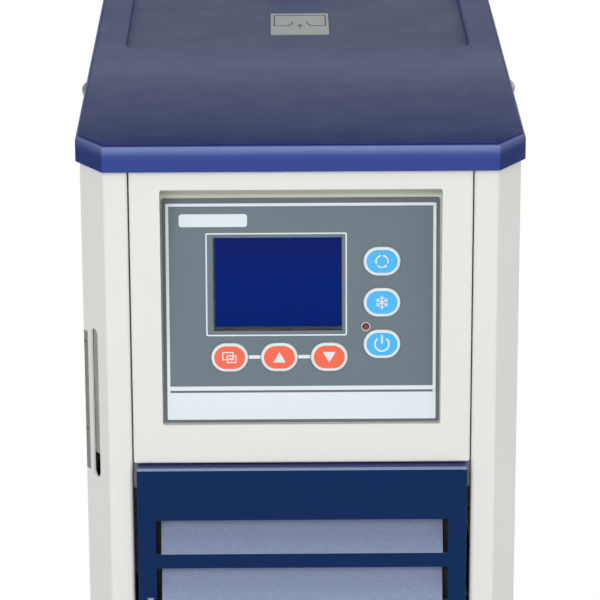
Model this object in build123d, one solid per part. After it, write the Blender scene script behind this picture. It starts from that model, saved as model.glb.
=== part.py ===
from build123d import *
import os
from math import atan2, cos, radians, sin, tan

os.makedirs("parts", exist_ok=True)

# A free-standing recirculating chiller: a folded sheet cabinet with chamfered front corners,
# a moulded lid, a tilted keypad in a pocket, a lanced louvre panel, and the refrigeration and
# coolant circuits inside. Millimetres, +Z up, the front faces -Y, the feet stand on z = 0.

# Cabinet shell
cabinet_width = 248.0
cabinet_depth = 464.0
sheet = 1.2
bend = 2.2
chamfer_width = 14.0
chamfer_depth = 21.0
post_width = 13.2
return_depth = 12.0
rear_return = 14.0
fit_gap = 0.3

# Heights, from the floor up
foot_height = 18.0
tray_rise = 17.7
lower_panel_height = 298.8
panel_gap = 1.2

# Lid
lid_wall = 2.0
lid_skirt = 15.0
lid_overhang = 2.5
lid_front_overhang = 3.0
lid_rear_overhang = 3.0
lid_edge_radius = 3.5
lid_corner_radius = 2.5
lid_chamfer_width = 16.0
lid_tray_share = 0.4741
lid_tray_side_margin = 20.0
lid_tray_rear_margin = 26.0
lid_tray_depth = 5.0
lid_tray_corner = 14.0
lid_tray_edge = 1.2
fill_label_width = 37.0
fill_label_length = 57.0
fill_label_inset = 54.4
fill_label_x = 2.0
fill_label_thickness = 0.6
fill_label_corner = 1.0

# Dome-head lid screws
lid_screw_front = 150.0
lid_screw_rear = 64.0
lid_screw_head = 9.6
lid_screw_dome = 2.8
lid_screw_shank = 4.0
lid_screw_length = 9.0
lid_screw_slack = 0.3
lid_screw_bite = 0.1

# Front panel and its window
front_gap = 0.8
front_corner = 1.6
window_side_margin = 17.0
window_sill = 23.4
window_top_margin = 24.2
window_corner = 1.5
front_flange = 12.0

# Tilted pocket behind the window
pocket_tilt = 6.0
pocket_front_depth = 3.5
pocket_wall = 1.5
pocket_flange = 8.0
pocket_margin = 0.3
overlay_rise = 0.6
overlay_side_gap = 0.8
overlay_top_gap = 9.0

# Keypad overlay, measured up from its lower edge
overlay_height = 129.8
overlay_thickness = 1.0
overlay_corner = 1.2
screen_left = -49.7
screen_right = 23.2
screen_low = 53.4
screen_high = 107.3
key_length = 20.9
key_height = 16.5
key_thickness = 1.5
key_crown = 0.7
key_clearance = 0.3
key_travel = 0.5
key_lift = 0.4
key_stem = 6.0
key_collar = 9.0
key_collar_thickness = 1.0
lower_row_height = 38.2
lower_row = {"key_menu": -40.7, "key_up": -12.5, "key_down": 15.8}
right_column_x = 45.7
right_column = {"key_circulate": 93.4, "key_cool": 69.7, "key_power": 45.5}
lamp_x = 36.6
lamp_height = 55.5
lamp_radius = 1.9
lamp_collar = 0.6
lamp_collar_height = 2.0

# Display and control board
display_frame = 5.0
display_glass_gap = 0.4
display_frame_gap = 0.2
window_lens = 1.0
lens_edge_gap = 0.15
lens_sink = 0.2
lens_air = 0.1
board_depth = 10.5
board_thickness = 1.6
board_side_inset = 5.2
board_top_inset = 5.8
board_low = 6.0
switch_body = 6.0
switch_button_rise = 0.4
switch_body_height = 3.5
switch_button = 3.4
switch_gap = key_travel + fit_gap
standoff_radius = 3.0
standoff_inset_x = 6.0
standoff_inset_z = 6.0

# Lower panel with lanced louvres
louvre_panel_gap = 2.2
louvre_panel_proud = 4.0
louvre_panel_corner = 2.5
louvre_pitch = 29.6
louvre_side_margin = 10.6
louvre_slot_height = 20.9
louvre_first_drop = 32.2
louvre_last_rise = 38.0
louvre_end_gap = 3.0
louvre_blade_root = 2.5
louvre_blade_rise = 18.0
louvre_blade_reach = 8.0
dimple_radius = 2.6
dimple_depth = 0.5
dimple_inset = 7.0
dimple_drop = 79.0

# Cross rail between the posts, behind the joint of the two front panels
rail_thickness = 1.5
rail_half_height = 20.0
rail_overlap = 4.0
rail_lip = 10.0

# Level sight slot, tube and scale on the left chamfer
level_slot_width = 7.2
level_slot_drop = 11.8
level_slot_length = 90.0
level_slot_offset = 13.6
level_tube_radius = 4.0
level_tube_bore = 2.8
level_tube_standoff = 7.4
level_tube_overrun = 8.0
level_elbow_radius = 6.0
level_elbow_height = 14.0
level_elbow_socket = 3.0
level_barb_radius = 2.6
level_barb_reach = 14.0
scale_width = 3.4
scale_rise = 2.8
scale_top_drop = 3.8
scale_offset = 22.6
scale_thickness = 0.5

# Feet
foot_radius = 17.0
foot_inset_x = 26.0
foot_inset_y = 34.0
foot_hollow = 5.0
foot_hollow_height = 6.0
foot_edge = 3.0
foot_draft = 2.0

# Vents in the base tray
tray_vent_length = 70.0
tray_vent_width = 8.0
tray_vent_pitch = 40.0
tray_vent_setback = 150.0

# Rear panel
grille_low = 60.0
grille_row_count = 12
grille_pitch = 15.0
grille_slot_height = 6.0
grille_side_margin = 25.0
grille_column_gap = 10.0
rear_screw_inset = 30.0
rear_screw_radius = 4.0
rear_screw_head = 2.2
rear_screw_edge = 1.2

# Shelf that carries the coolant side
shelf_drop = 50.0
shelf_sheet = 1.5
shelf_front = 95.0
shelf_flange = 15.0
shelf_hole_gap = 3.0

# Reservoir and its jacket
tank_side_gap = 54.0
tank_front = 241.0
tank_rear_gap = 50.0
tank_headroom = 40.0
tank_sheet = 1.0
tank_corner = 8.0
jacket = 15.0
jacket_corner = 6.0
jacket_slack = 0.2
tank_lid_sheet = 1.5
tank_lid_inset = 1.0
neck_inset = 66.0
neck_radius = 15.0
neck_wall = 1.0
neck_top_above_tray = 3.0
neck_hole_gap = 1.6
cap_radius = 20.0
cap_height = 8.0
cap_edge = 2.0
cap_flute_count = 12
cap_flute_radius = 2.5
cap_flute_sink = 0.4
cap_flute_drop = 3.0
cap_plug_depth = 8.0
cap_plug_wall = 3.0
return_nipple_rise = 12.0
nipple_inset = 12.0
level_nipple_inset = 15.0
return_inset = 18.0
vent_offset = 20.0
probe_share = 0.43
probe_radius = 3.0
probe_length = 30.0
probe_head = 3.0
probe_head_height = 5.0
probe_tail = 12.0

# Rear hose nozzles and drain
nozzle_reach = 26.0
nozzle_bore = 4.0
nozzle_radius = 6.0
nozzle_groove_count = 3
groove_width = 1.2
groove_depth = 0.5
spigot_chamfer = 0.8
nozzle_flange_radius = 10.5
nozzle_flange_thickness = 4.0
nozzle_thread_radius = 7.0
nozzle_thread = 7.0
nozzle_tail = 12.0
nozzle_nut = 5.0
nozzle_inset = 26.0
drain_rise = 26.0
drain_bore = 3.0
drain_lever_length = 26.0
drain_lever_width = 7.0
drain_lever_thickness = 3.0
drain_hub_radius = 5.0
drain_hub_height = 5.0
drain_stem_radius = 4.0
drain_stem_height = 11.0
drain_stem_depth = 11.0
drain_body_radius = 8.0
drain_body_length = 16.0
drain_spigot_length = 9.0

# Coolant hoses
hose_wall = 1.5
hose_slack = 0.1
hose_bend = 12.0
level_hose_bend = 9.0

# Nipples that take the coolant hoses
nipple_radius = 5.0
nipple_wall = 1.5
nipple_reach = 8.0
drain_nipple_reach = 6.0
nipple_hole_gap = 0.4

# Circulation pump
pump_inset = 30.0
pump_front = 112.0
pump_axis_rise = 38.0
pump_motor_radius = 30.0
pump_motor_length = 62.0
pump_edge = 4.0
pump_groove_count = 5
pump_groove_first = 14.0
pump_groove_pitch = 9.0
pump_groove_width = 3.0
pump_groove_depth = 2.0
pump_foot_width = 48.0
pump_foot_thickness = 3.0
pump_foot_front = 12.0
pump_foot_rear = 8.0
pump_web_width = 28.0
pump_web_inset = 6.0
pump_box_width = 28.0
pump_box_length = 32.0
pump_box_rise = 14.0
pump_head_radius = 30.0
pump_head_length = 20.0
pump_nipple_length = 9.0

# Cooling circuit
condenser_side_gap = 38.0
condenser_front = 26.0
condenser_thickness = 36.0
condenser_low = 52.0
condenser_headroom = 29.0
condenser_frame = 2.0
condenser_leg = 14.0
fin_count = 28
fin_thickness = 0.5
fin_inset = 1.0
return_bend_first = 26.0
return_bend_pitch = 32.0
return_bend_span = 20.0
return_bend_reach = 13.0
return_bend_corner = 9.0
condenser_tube_radius = 4.0
fan_margin = 20.0
fan_tip_gap = 4.0
fan_hub_radius = 18.0
fan_hub_gap = 1.0
fan_blade_count = 5
fan_blade_chord = 28.8
fan_blade_root = 4.0
fan_blade_thickness = 1.6
fan_blade_pitch = 28.0
fan_motor_radius = 24.0
fan_motor_length = 44.0
fan_motor_edge = 5.0
fan_shaft_radius = 3.0
fan_shaft_reach = 20.0
fan_hub_length = 16.0
shroud_sheet = 1.5
shroud_ring = 22.0
arm_thickness = 3.0
arm_width = 8.0
seat_lip = 8.0
compressor_inset = 126.0
compressor_radius = 64.0
compressor_height = 168.0
compressor_crown = 44.0
compressor_lift = 15.0
compressor_seam = 2.0
compressor_seam_height = 5.0
compressor_seam_share = 0.55
compressor_foot = 4.0
compressor_foot_margin = 11.0
compressor_foot_corner = 14.0
mount_radius = 9.0
mount_pitch = 104.0
mount_stem = 4.2
mount_hole = 4.5
mount_cap_radius = 7.0
mount_cap_height = 2.9
cap_lift = 0.1
shell_gap = 0.1
stub_x = 34.0
stub_reach = 72.0
stub_sink = 30.0
stub_wall = 1.2
discharge_rise = 115.8
suction_rise = 77.8
terminal_reach = 26.0
terminal_sink = 6.0
terminal_half_width = 24.0
terminal_low = 44.0
terminal_height = 40.0
terminal_corner = 4.0
pipe_setback = 100.0
suction_inset = 12.0
drier_inset = 20.0
drier_rise = 36.0
drier_cone = 9.0
drier_neck = 5.0
drier_neck_wall = 0.8
drier_radius = 9.0
drier_length = 80.0
discharge_run = 44.0
discharge_side = 18.0
discharge_climb = 14.0
discharge_drop = 6.0
liquid_rise = 10.0
discharge_radius = 3.2
suction_radius = 4.8
liquid_radius = 3.2
capillary_radius = 1.4
coil_radius = 4.8
coil_pass_count = 6
coil_side_gap = 20.0
coil_floor_gap = 20.0
coil_rim_gap = 30.0
coil_inset = 21.0
coil_hole_gap = 0.3
coil_tail = 6.0
capillary_climb = 20.0
suction_climb = 22.0
discharge_bend = 8.0
liquid_bend = 10.0
capillary_bend = 6.0
suction_bend = 10.0

# Electrical pieces
box_width = 60.0
box_depth = 80.0
box_height = 62.0
box_gap = 12.0
box_front = 108.0
box_wall = 2.0
box_corner = 3.0
box_lid_overhang = 1.5
box_lid_skirt = 10.0
inlet_cut_width = 27.4
inlet_cut_height = 20.0
inlet_flange_width = 48.0
inlet_flange_height = 24.0
inlet_flange = 3.0
inlet_flange_corner = 6.0
inlet_depth = 24.0
inlet_socket_width = 24.0
inlet_socket_height = 16.0
inlet_socket_depth = 14.0
inlet_pin = 2.0
inlet_pin_height = 4.0
inlet_pin_pitch = 7.0
inlet_pin_step = 2.0
inlet_inset = 40.0
inlet_z = 90.0
cut_gap = 0.2
switch_cut_width = 19.4
switch_cut_height = 13.0
switch_flange = 2.0
switch_depth = 18.0
switch_wall = 1.2
switch_well = 8.0
switch_z = 130.0
switch_tilt = 12.0
rocker_inset = 2.2
rocker_side_inset = 1.6
rocker_depth = 2.0
rocker_rise = 3.2
rocker_waist = 1.6
rocker_skirt = 1.5
rocker_tail = 4.5
rocker_tail_half = 2.5

# Derived places
half_width = cabinet_width / 2
front_y = -(cabinet_depth + nozzle_reach - louvre_panel_proud) / 2
post_corner_x = half_width - chamfer_width
post_edge_x = post_corner_x - post_width
tray_top = foot_height + tray_rise
louvre_panel_low = tray_top + fit_gap
louvre_panel_top = louvre_panel_low + lower_panel_height
louvre_panel_width = 2 * (post_edge_x - louvre_panel_gap)
louvre_slot_width = louvre_panel_width - 2 * louvre_side_margin
louvre_blade_width = louvre_slot_width - 2 * louvre_end_gap
louvre_span = lower_panel_height - louvre_first_drop - louvre_last_rise - louvre_slot_height
louvre_count = int(louvre_span / louvre_pitch) + 1
front_panel_low = louvre_panel_top + panel_gap
front_panel_half = post_edge_x - front_gap
window_width = 2 * (front_panel_half - window_side_margin)
window_height = overlay_rise + overlay_height + overlay_top_gap
window_low = front_panel_low + window_sill
overlay_width = window_width - 2 * overlay_side_gap
board_width = overlay_width - 2 * board_side_inset
board_height = overlay_height - board_low - board_top_inset
cabinet_top = window_low + window_height + window_top_margin
lid_top = cabinet_top + lid_wall
lid_low = lid_top - lid_skirt
lid_tray_floor = lid_top - lid_tray_depth
lid_tray_setback = cabinet_depth * lid_tray_share
lid_tray_width = cabinet_width + 2 * lid_overhang - 2 * lid_tray_side_margin
lid_screw_setbacks = (lid_screw_front, cabinet_depth - lid_screw_rear)
fill_label_setback = lid_tray_setback + fill_label_inset
level_slot_low = front_panel_low - level_slot_drop
level_slot_high = level_slot_low + level_slot_length
level_hose_z = level_slot_low - level_tube_overrun - level_elbow_radius
scale_low = level_slot_low + scale_rise
scale_length = level_slot_length - scale_rise - scale_top_drop
shelf_height = front_panel_low - shelf_drop
tank_half_width = half_width - tank_side_gap
tank_rear = cabinet_depth - tank_rear_gap
tank_low = shelf_height + jacket + tank_sheet
tank_rim = lid_tray_floor - tank_headroom
neck_setback = cabinet_depth - neck_inset
nipple_x = tank_half_width - nipple_inset
level_nipple_x = tank_half_width - level_nipple_inset
return_setback = tank_rear - return_inset
coil_setback = tank_front + coil_inset
coil_low = tank_low + coil_floor_gap
coil_high = tank_rim - coil_rim_gap
coil_end_x = tank_half_width - coil_side_gap
coil_pitch = 2 * coil_end_x / (coil_pass_count - 1)
coil_top = tank_rim + coil_tail
vent_setback = coil_setback + vent_offset
probe_setback = coil_setback + probe_share * (neck_setback - coil_setback)
drain_height = shelf_height + drain_rise
nozzle_x = half_width - nozzle_inset
pump_x = tank_half_width - pump_inset
pump_z = shelf_height + pump_axis_rise
nozzle_height = pump_z
box_x = pump_x - pump_motor_radius - box_gap - box_width / 2
condenser_half_width = half_width - condenser_side_gap
condenser_height = shelf_height - shelf_flange - condenser_headroom - condenser_low
condenser_top = condenser_low + condenser_height
condenser_rear = condenser_front + condenser_thickness
condenser_middle = condenser_front + condenser_thickness / 2
return_bend_room = condenser_height - return_bend_first - return_bend_span
return_bend_count = int(return_bend_room / return_bend_pitch) + 1
fan_radius = min(condenser_half_width, condenser_height / 2) - fan_margin
fan_z = condenser_low + condenser_height / 2
fan_back = condenser_rear + shroud_ring - fan_hub_gap
compressor_base = foot_height + sheet + compressor_lift
compressor_setback = cabinet_depth - compressor_inset
stub_setback = compressor_setback - stub_reach
discharge_z = compressor_base + discharge_rise
suction_z = compressor_base + suction_rise
suction_x = half_width - suction_inset
suction_setback = compressor_setback - pipe_setback
drier_x = half_width - drier_inset
drier_setback = compressor_setback - pipe_setback
drier_low = condenser_low + drier_rise
inlet_x = half_width - inlet_inset


def behind(depth):
    """World y of a plane that lies this far behind the cabinet's front plane."""
    return front_y + depth


def block(x0, x1, y0, y1, z0, z1):
    """Box between two corners, y given as depth behind the front plane."""
    box = Box(x1 - x0, y1 - y0, z1 - z0, align=(Align.MIN, Align.MIN, Align.MIN))
    return Pos(x0, behind(y0), z0) * box


def rod(start, end, radius):
    """Round bar from one point to another."""
    axis = Vector(*end) - Vector(*start)
    plane = Plane(origin=start, z_dir=axis.normalized())
    return plane * Cylinder(radius, axis.length, align=(Align.CENTER, Align.CENTER, Align.MIN))


def along_y(axis, near, far, radius):
    """Round bar from front to back round an axis given as x and height."""
    x, z = axis
    return rod((x, behind(near), z), (x, behind(far), z), radius)


def pipe(points, radius, corner, bore=0.0):
    """Round tube along straight runs joined by tangent arcs, points as x, depth, height."""
    world = [(x, behind(y), z) for x, y, z in points]
    path = FilletPolyline(*world, radius=corner)
    start = Plane(origin=path @ 0, z_dir=path % 0)
    section = Circle(radius)
    if bore:
        section -= Circle(bore)
    return sweep(start * section, path=path)


def inner_points(points, distance):
    """The same polyline moved sideways to its left by a distance, with mitred corners."""
    moved = []
    last = len(points) - 1
    for i, (x, y) in enumerate(points):
        ahead = points[min(i + 1, last)]
        back = points[max(i - 1, 0)]
        a_in = atan2(y - back[1], x - back[0]) if i > 0 else None
        a_out = atan2(ahead[1] - y, ahead[0] - x) if i < last else None
        if a_in is None:
            a_in = a_out
        if a_out is None:
            a_out = a_in
        middle = (a_in + a_out) / 2
        if abs(a_out - a_in) > radians(180):
            middle += radians(180)
        reach = distance / cos(middle - a_in)
        moved.append((x - reach * sin(middle), y + reach * cos(middle)))
    return moved


def folded(points, thickness, radius):
    """Section of a folded sheet whose outer face follows the points, material to the left."""
    inside = inner_points(points, thickness)
    outer = FilletPolyline(*points, radius=radius)
    inner = FilletPolyline(*inside, radius=radius - thickness)
    return make_face(
        outer.edges()
        + inner.edges()
        + [Line(points[0], inside[0]), Line(points[-1], inside[-1])]
    )


def side_outline():
    """Outer line of the right side panel seen from above, from its rear return to its post."""
    rear = behind(cabinet_depth - sheet)
    return [
        (half_width - rear_return, rear),
        (half_width, rear),
        (half_width, behind(chamfer_depth)),
        (post_corner_x, behind(0)),
        (post_edge_x, behind(0)),
        (post_edge_x, behind(return_depth)),
    ]


def side_panel():
    """Right side panel: one folded sheet with rear return, wall, chamfer, post and return."""
    section = folded(side_outline()[::-1], sheet, bend)
    panel = Pos(0, 0, foot_height) * extrude(section, cabinet_top - foot_height)
    relief = block(
        post_edge_x - 1, post_corner_x - bend, sheet, return_depth + 1,
        foot_height - 1, tray_top + 2,
    )
    return panel - relief


def chamfer_plane():
    """Plane on the left chamfer's outer face: x runs back along it, y is up, z points out."""
    corner = Vector(-post_corner_x, behind(0), 0)
    along = Vector(-chamfer_width, chamfer_depth, 0).normalized()
    out = Vector(-chamfer_depth, -chamfer_width, 0).normalized()
    return Plane(origin=corner, x_dir=-along, z_dir=out), along, out


def left_side_panel():
    """Left side panel: the right one mirrored, with the level sight slot in its chamfer."""
    panel = mirror(side_panel(), about=Plane.YZ)
    plane = chamfer_plane()[0]
    slot = SlotOverall(level_slot_length, level_slot_width, rotation=90)
    slot = Pos(-level_slot_offset, level_slot_low + level_slot_length / 2) * slot
    cut = extrude(plane * slot, amount=sheet * 3, both=True)
    return panel - cut


def base_tray():
    """Folded pan with a turned-up rim, that follows the side panels inside their sheets."""
    outside = [
        (0, behind(0)),
        (post_corner_x, behind(0)),
        (half_width, behind(chamfer_depth)),
        (half_width, behind(cabinet_depth - sheet)),
    ]
    inside = inner_points(outside, sheet)
    inside[-1] = (inside[-1][0], behind(cabinet_depth - 2 * sheet))
    right = inside[1:]
    left = [(-x, y) for x, y in right[::-1]]
    outline = make_face(Polyline(*(right + left), close=True).edges())
    tray = extrude(outline, tray_rise)
    tray = fillet(tray.edges().filter_by(Axis.Z), bend)
    hollow = extrude(offset(outline, -sheet), tray_rise)
    hollow = fillet(hollow.edges().filter_by(Axis.Z), bend - sheet)
    tray -= Pos(0, 0, sheet) * hollow
    tray = Pos(0, 0, foot_height) * tray
    slot = SlotOverall(tray_vent_length, tray_vent_width, rotation=90)
    vent = extrude(slot, sheet * 4, both=True)
    for x in (-tray_vent_pitch, 0, tray_vent_pitch):
        tray -= Pos(x, behind(tray_vent_setback), foot_height) * vent
    return tray


def feet():
    """Four turned rubber feet with a hollow sole."""
    section = Polyline(
        (foot_hollow, 0), (foot_radius - foot_edge, 0), (foot_radius, foot_edge),
        (foot_radius - foot_draft, foot_height), (0, foot_height), (0, foot_hollow_height),
        (foot_hollow, foot_hollow_height), close=True,
    )
    foot = revolve(Plane.XZ * make_face(section.edges()), Axis.Z)
    x = half_width - foot_inset_x
    made = []
    for side in (-1, 1):
        for depth in (foot_inset_y, cabinet_depth - foot_inset_y):
            made.append(Pos(side * x, behind(depth), 0) * foot)
    return made


def lid_outline(inset):
    """Lid seen from above, drawn in by an inset, with its chamfered front corners."""
    lid_half = half_width + lid_overhang
    front = behind(-lid_front_overhang)
    rear = behind(cabinet_depth + lid_rear_overhang)
    slope = chamfer_depth / chamfer_width
    run = lid_chamfer_width
    right = [
        (lid_half, rear),
        (lid_half, front + run * slope),
        (lid_half - run, front),
    ]
    left = [(-x, y) for x, y in right[::-1]]
    face = make_face(Polyline(*(right + left), close=True).edges())
    return offset(face, -inset) if inset else face


def lid_tray_face(grow, corner):
    """Outline of the shallow tray in the lid's top."""
    length = cabinet_depth - lid_tray_setback - lid_tray_rear_margin
    middle = behind(lid_tray_setback + length / 2)
    return Pos(0, middle) * RectangleRounded(
        lid_tray_width + 2 * grow, length + 2 * grow, corner + grow
    )


def top_cover():
    """Moulded lid: a thin shell with rounded top edges, a shallow tray and the neck hole."""
    body = Pos(0, 0, lid_low) * extrude(lid_outline(0), lid_skirt)
    upright = body.edges().filter_by(Axis.Z)
    body = fillet(upright, lid_corner_radius)
    body = fillet(body.faces().sort_by(Axis.Z)[-1].edges(), lid_edge_radius)
    cavity = extrude(lid_outline(lid_wall), lid_skirt - lid_wall)
    body -= Pos(0, 0, lid_low) * cavity
    floor_low = lid_tray_floor - lid_wall
    body += Pos(0, 0, floor_low) * extrude(
        lid_tray_face(lid_wall, lid_tray_corner), lid_top - lid_wall / 2 - floor_low
    )
    sunk = extrude(lid_tray_face(0, lid_tray_corner), lid_tray_depth + 1)
    body -= Pos(0, 0, lid_tray_floor) * sunk
    rim = [e for e in body.edges() if abs(e.center().Z - lid_top) < 0.01]
    rim = [e for e in rim if abs(e.center().X) < lid_tray_width / 2 + 0.5]
    rim = [e for e in rim if behind(lid_tray_setback - 1) < e.center().Y]
    rim = [e for e in rim if e.center().Y < behind(cabinet_depth - lid_tray_rear_margin + 1)]
    body = fillet(rim, lid_tray_edge)
    hole = Cylinder(neck_radius + neck_hole_gap, 2 * lid_skirt)
    body -= Pos(0, behind(neck_setback), lid_tray_floor) * hole
    for setback in lid_screw_setbacks:
        bore = Cylinder(
            lid_screw_shank / 2 + lid_screw_slack, 2 * cabinet_width, rotation=(0, 90, 0)
        )
        body -= Pos(0, behind(setback), lid_screw_z()) * bore
    return body


def lid_screw_z():
    """Height of the screws in the middle of the lid's skirt."""
    return (lid_low + lid_top) / 2


def lid_screws():
    """Dome-head screws through the lid's skirt into the side panels."""
    half = lid_screw_head / 2
    ball = (half ** 2 + lid_screw_dome ** 2) / (2 * lid_screw_dome)
    dome = Pos(0, 0, lid_screw_dome - ball) * Sphere(ball)
    head = dome & Cylinder(half, 3 * half, align=(Align.CENTER, Align.CENTER, Align.MIN))
    screw = head + Cylinder(
        lid_screw_shank / 2, lid_screw_length, align=(Align.CENTER, Align.CENTER, Align.MAX)
    )
    seat = half_width + lid_overhang
    screws = []
    for setback in lid_screw_setbacks:
        for side in (-1, 1):
            plane = Plane(
                origin=(side * seat, behind(setback), lid_screw_z()),
                x_dir=(0, 1, 0),
                z_dir=(side, 0, 0),
            )
            screws.append(plane * screw)
    return screws


def drill_lid_screws(panel):
    """Holes for the lid screws in a side panel."""
    for setback in lid_screw_setbacks:
        bore = Cylinder(
            lid_screw_shank / 2 + lid_screw_bite, 2 * cabinet_width, rotation=(0, 90, 0)
        )
        panel -= Pos(0, behind(setback), lid_screw_z()) * bore
    return panel


def fill_label():
    """Thin rounded plate in the lid's tray."""
    middle = behind(fill_label_setback + fill_label_length / 2)
    plate = RectangleRounded(fill_label_width, fill_label_length, fill_label_corner)
    return Pos(fill_label_x, middle, lid_tray_floor) * extrude(plate, fill_label_thickness)


def pan(x_half, depth_front, depth_back, low, high, corner, radius):
    """Drawn pan with rounded front edges, open at its back."""
    mid_z = (low + high) / 2
    front = Plane(origin=(0, behind(depth_front), mid_z), x_dir=(1, 0, 0), z_dir=(0, -1, 0))
    depth = depth_back - depth_front

    def solid(inset):
        face = RectangleRounded(2 * (x_half - inset), high - low - 2 * inset, max(corner - inset, 0.4))
        body = extrude(front * Pos(0, 0, -inset) * face, -(depth + 2 * inset))
        rim = body.faces().sort_by(Axis.Y)[0].edges()
        return fillet(rim, radius - inset)

    return solid(0) - solid(sheet)


def front_panel():
    """Upper front panel: a pan with the control window."""
    panel = pan(
        front_panel_half, 0, front_flange, front_panel_low, cabinet_top, front_corner, front_corner
    )
    window = extrude(
        RectangleRounded(window_width, window_height, window_corner), front_flange, both=True
    )
    opening = Plane.XZ * window
    return panel - Pos(0, behind(0), window_low + window_height / 2) * opening


def louvre_blades():
    """Blades lanced out of the panel, each still joined to it along its slot's lower edge."""
    face_y = behind(-louvre_panel_proud)
    blades = []
    for i in range(louvre_count):
        top = louvre_panel_top - louvre_first_drop - i * louvre_pitch
        low = top - louvre_slot_height
        points = [
            (face_y, low - louvre_blade_root),
            (face_y, low),
            (face_y + louvre_blade_reach, low + louvre_blade_rise),
        ]
        section = folded(points[::-1], sheet, bend)
        blade = extrude(Plane.YZ * section, louvre_blade_width / 2, both=True)
        blades.append(blade)
    return blades


def lower_front_panel():
    """Lower front panel: one sheet with rounded edges and a column of lanced louvres."""
    panel = pan(
        louvre_panel_width / 2, -louvre_panel_proud, return_depth,
        louvre_panel_low, louvre_panel_top, louvre_panel_corner, bend,
    )
    face_y = -louvre_panel_proud
    for i in range(louvre_count):
        top = louvre_panel_top - louvre_first_drop - i * louvre_pitch
        panel -= block(
            -louvre_slot_width / 2, louvre_slot_width / 2, face_y - 1, face_y + sheet + 0.5,
            top - louvre_slot_height, top,
        )
    for blade in louvre_blades():
        panel += blade
    ball_radius = (dimple_radius ** 2 + dimple_depth ** 2) / (2 * dimple_depth)
    centre_x = -louvre_panel_width / 2 + dimple_inset
    centre_y = behind(face_y) - ball_radius + dimple_depth
    panel -= Pos(centre_x, centre_y, louvre_panel_top - dimple_drop) * Sphere(ball_radius)
    return panel


def front_rail():
    """Channel behind the joint of the two front panels, from post to post."""
    half = post_edge_x + rail_overlap
    middle = (louvre_panel_top + front_panel_low) / 2
    low = middle - rail_half_height
    high = middle + rail_half_height
    y = behind(return_depth)
    section = folded(
        [(y + rail_lip, low), (y, low), (y, high), (y + rail_lip, high)][::-1],
        rail_thickness,
        bend,
    )
    return extrude(Plane.YZ * section, half, both=True)


def keypad_plane(height=0.0):
    """Plane of the pocket's tilted floor: x to the right, y up it, z out to the front."""
    origin = (0, behind(pocket_front_depth), window_low + overlay_rise)
    lean = radians(pocket_tilt)
    plane = Plane(origin=origin, x_dir=(1, 0, 0), z_dir=(0, -cos(lean), sin(lean)))
    return plane.offset(height)


def keys():
    """Name, x and height of each key's centre on the overlay."""
    places = [(name, x, lower_row_height) for name, x in lower_row.items()]
    places += [(name, right_column_x, h) for name, h in right_column.items()]
    return places


def screen_face(grow=0.0):
    """Rectangle of the visible screen on the overlay, grown by a margin."""
    width = screen_right - screen_left + 2 * grow
    height = screen_high - screen_low + 2 * grow
    middle = Pos((screen_left + screen_right) / 2, (screen_low + screen_high) / 2)
    return middle * Rectangle(width, height)


def keypad_overlay():
    """Printed plate in the pocket, cut out for the screen, the keys and the lamp."""
    face = Pos(0, overlay_height / 2) * RectangleRounded(
        overlay_width, overlay_height, overlay_corner
    )
    face -= screen_face()
    hole = SlotOverall(key_length + 2 * key_clearance, key_height + 2 * key_clearance)
    for name, x, h in keys():
        face -= Pos(x, h) * hole
    face -= Pos(lamp_x, lamp_height) * Circle(lamp_radius + fit_gap)
    return extrude(keypad_plane() * face, overlay_thickness)


def pocket_prism(grow):
    """Wedge between the front panel's back and the tilted floor, grown on all sides."""
    lean = radians(pocket_tilt)
    low = window_low - pocket_margin - grow
    high = window_low + window_height + pocket_margin + grow
    base_y = behind(pocket_front_depth)
    floor = [
        (base_y + (z - window_low - overlay_rise) * tan(lean), z) for z in (low, high)
    ]
    back = grow / cos(lean)
    front = behind(sheet) if grow else behind(sheet) - 5
    points = [(front, low), (front, high), (floor[1][0] + back, high), (floor[0][0] + back, low)]
    half = window_width / 2 + pocket_margin + grow
    section = make_face(Polyline(*points, close=True).edges())
    return extrude(Plane.YZ * section, half, both=True)


def control_bracket():
    """Tilted pocket behind the window: walls, floor and a flange against the front panel."""
    tub = pocket_prism(pocket_wall)
    edge = window_width / 2 + pocket_margin + pocket_wall + pocket_flange
    flange = block(
        -edge, edge, sheet, sheet + pocket_wall,
        window_low - pocket_flange, window_low + window_height + pocket_flange,
    )
    tub += flange
    tub -= pocket_prism(0)
    cut = screen_face()
    for name, x, h in keys():
        cut += Pos(x, h) * Circle(key_stem / 2 + fit_gap)
    cut += Pos(lamp_x, lamp_height) * Circle(lamp_radius + fit_gap)
    tub -= extrude(keypad_plane(1) * cut, -pocket_wall * 3)
    for post in bracket_posts():
        tub += post
    return tub


def key(x, h):
    """Crowned pad with a stem through the pocket floor and a collar that keeps it in."""
    pad = extrude(SlotOverall(key_length, key_height), key_thickness)
    pad = fillet(pad.faces().sort_by(Axis.Z)[-1].edges(), key_crown)
    seat = key_lift + key_travel
    stem_low = -board_depth + switch_body_height + switch_gap - seat
    stem = Cylinder(key_stem / 2, -stem_low, align=(Align.CENTER, Align.CENTER, Align.MIN))
    collar = Cylinder(
        key_collar / 2, key_collar_thickness, align=(Align.CENTER, Align.CENTER, Align.MAX)
    )
    body = pad + Pos(0, 0, stem_low) * stem
    body += Pos(0, 0, -pocket_wall - fit_gap - seat) * collar
    return keypad_plane(seat) * Pos(x, h) * body


def display_window():
    """Clear plate that fills the overlay's screen opening."""
    lens = extrude(screen_face(-lens_edge_gap), window_lens)
    return keypad_plane(-lens_sink) * lens


def display_module():
    """Display glass in its frame, behind the screen opening, seated on the board."""
    glass = extrude(screen_face(-display_glass_gap), -(pocket_wall + window_lens))
    glass = Pos(0, 0, -lens_sink - lens_air) * glass
    frame_front = pocket_wall + display_frame_gap
    frame = extrude(screen_face(display_frame), -(board_depth - frame_front))
    return keypad_plane() * (glass + Pos(0, 0, -frame_front) * frame)


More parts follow.
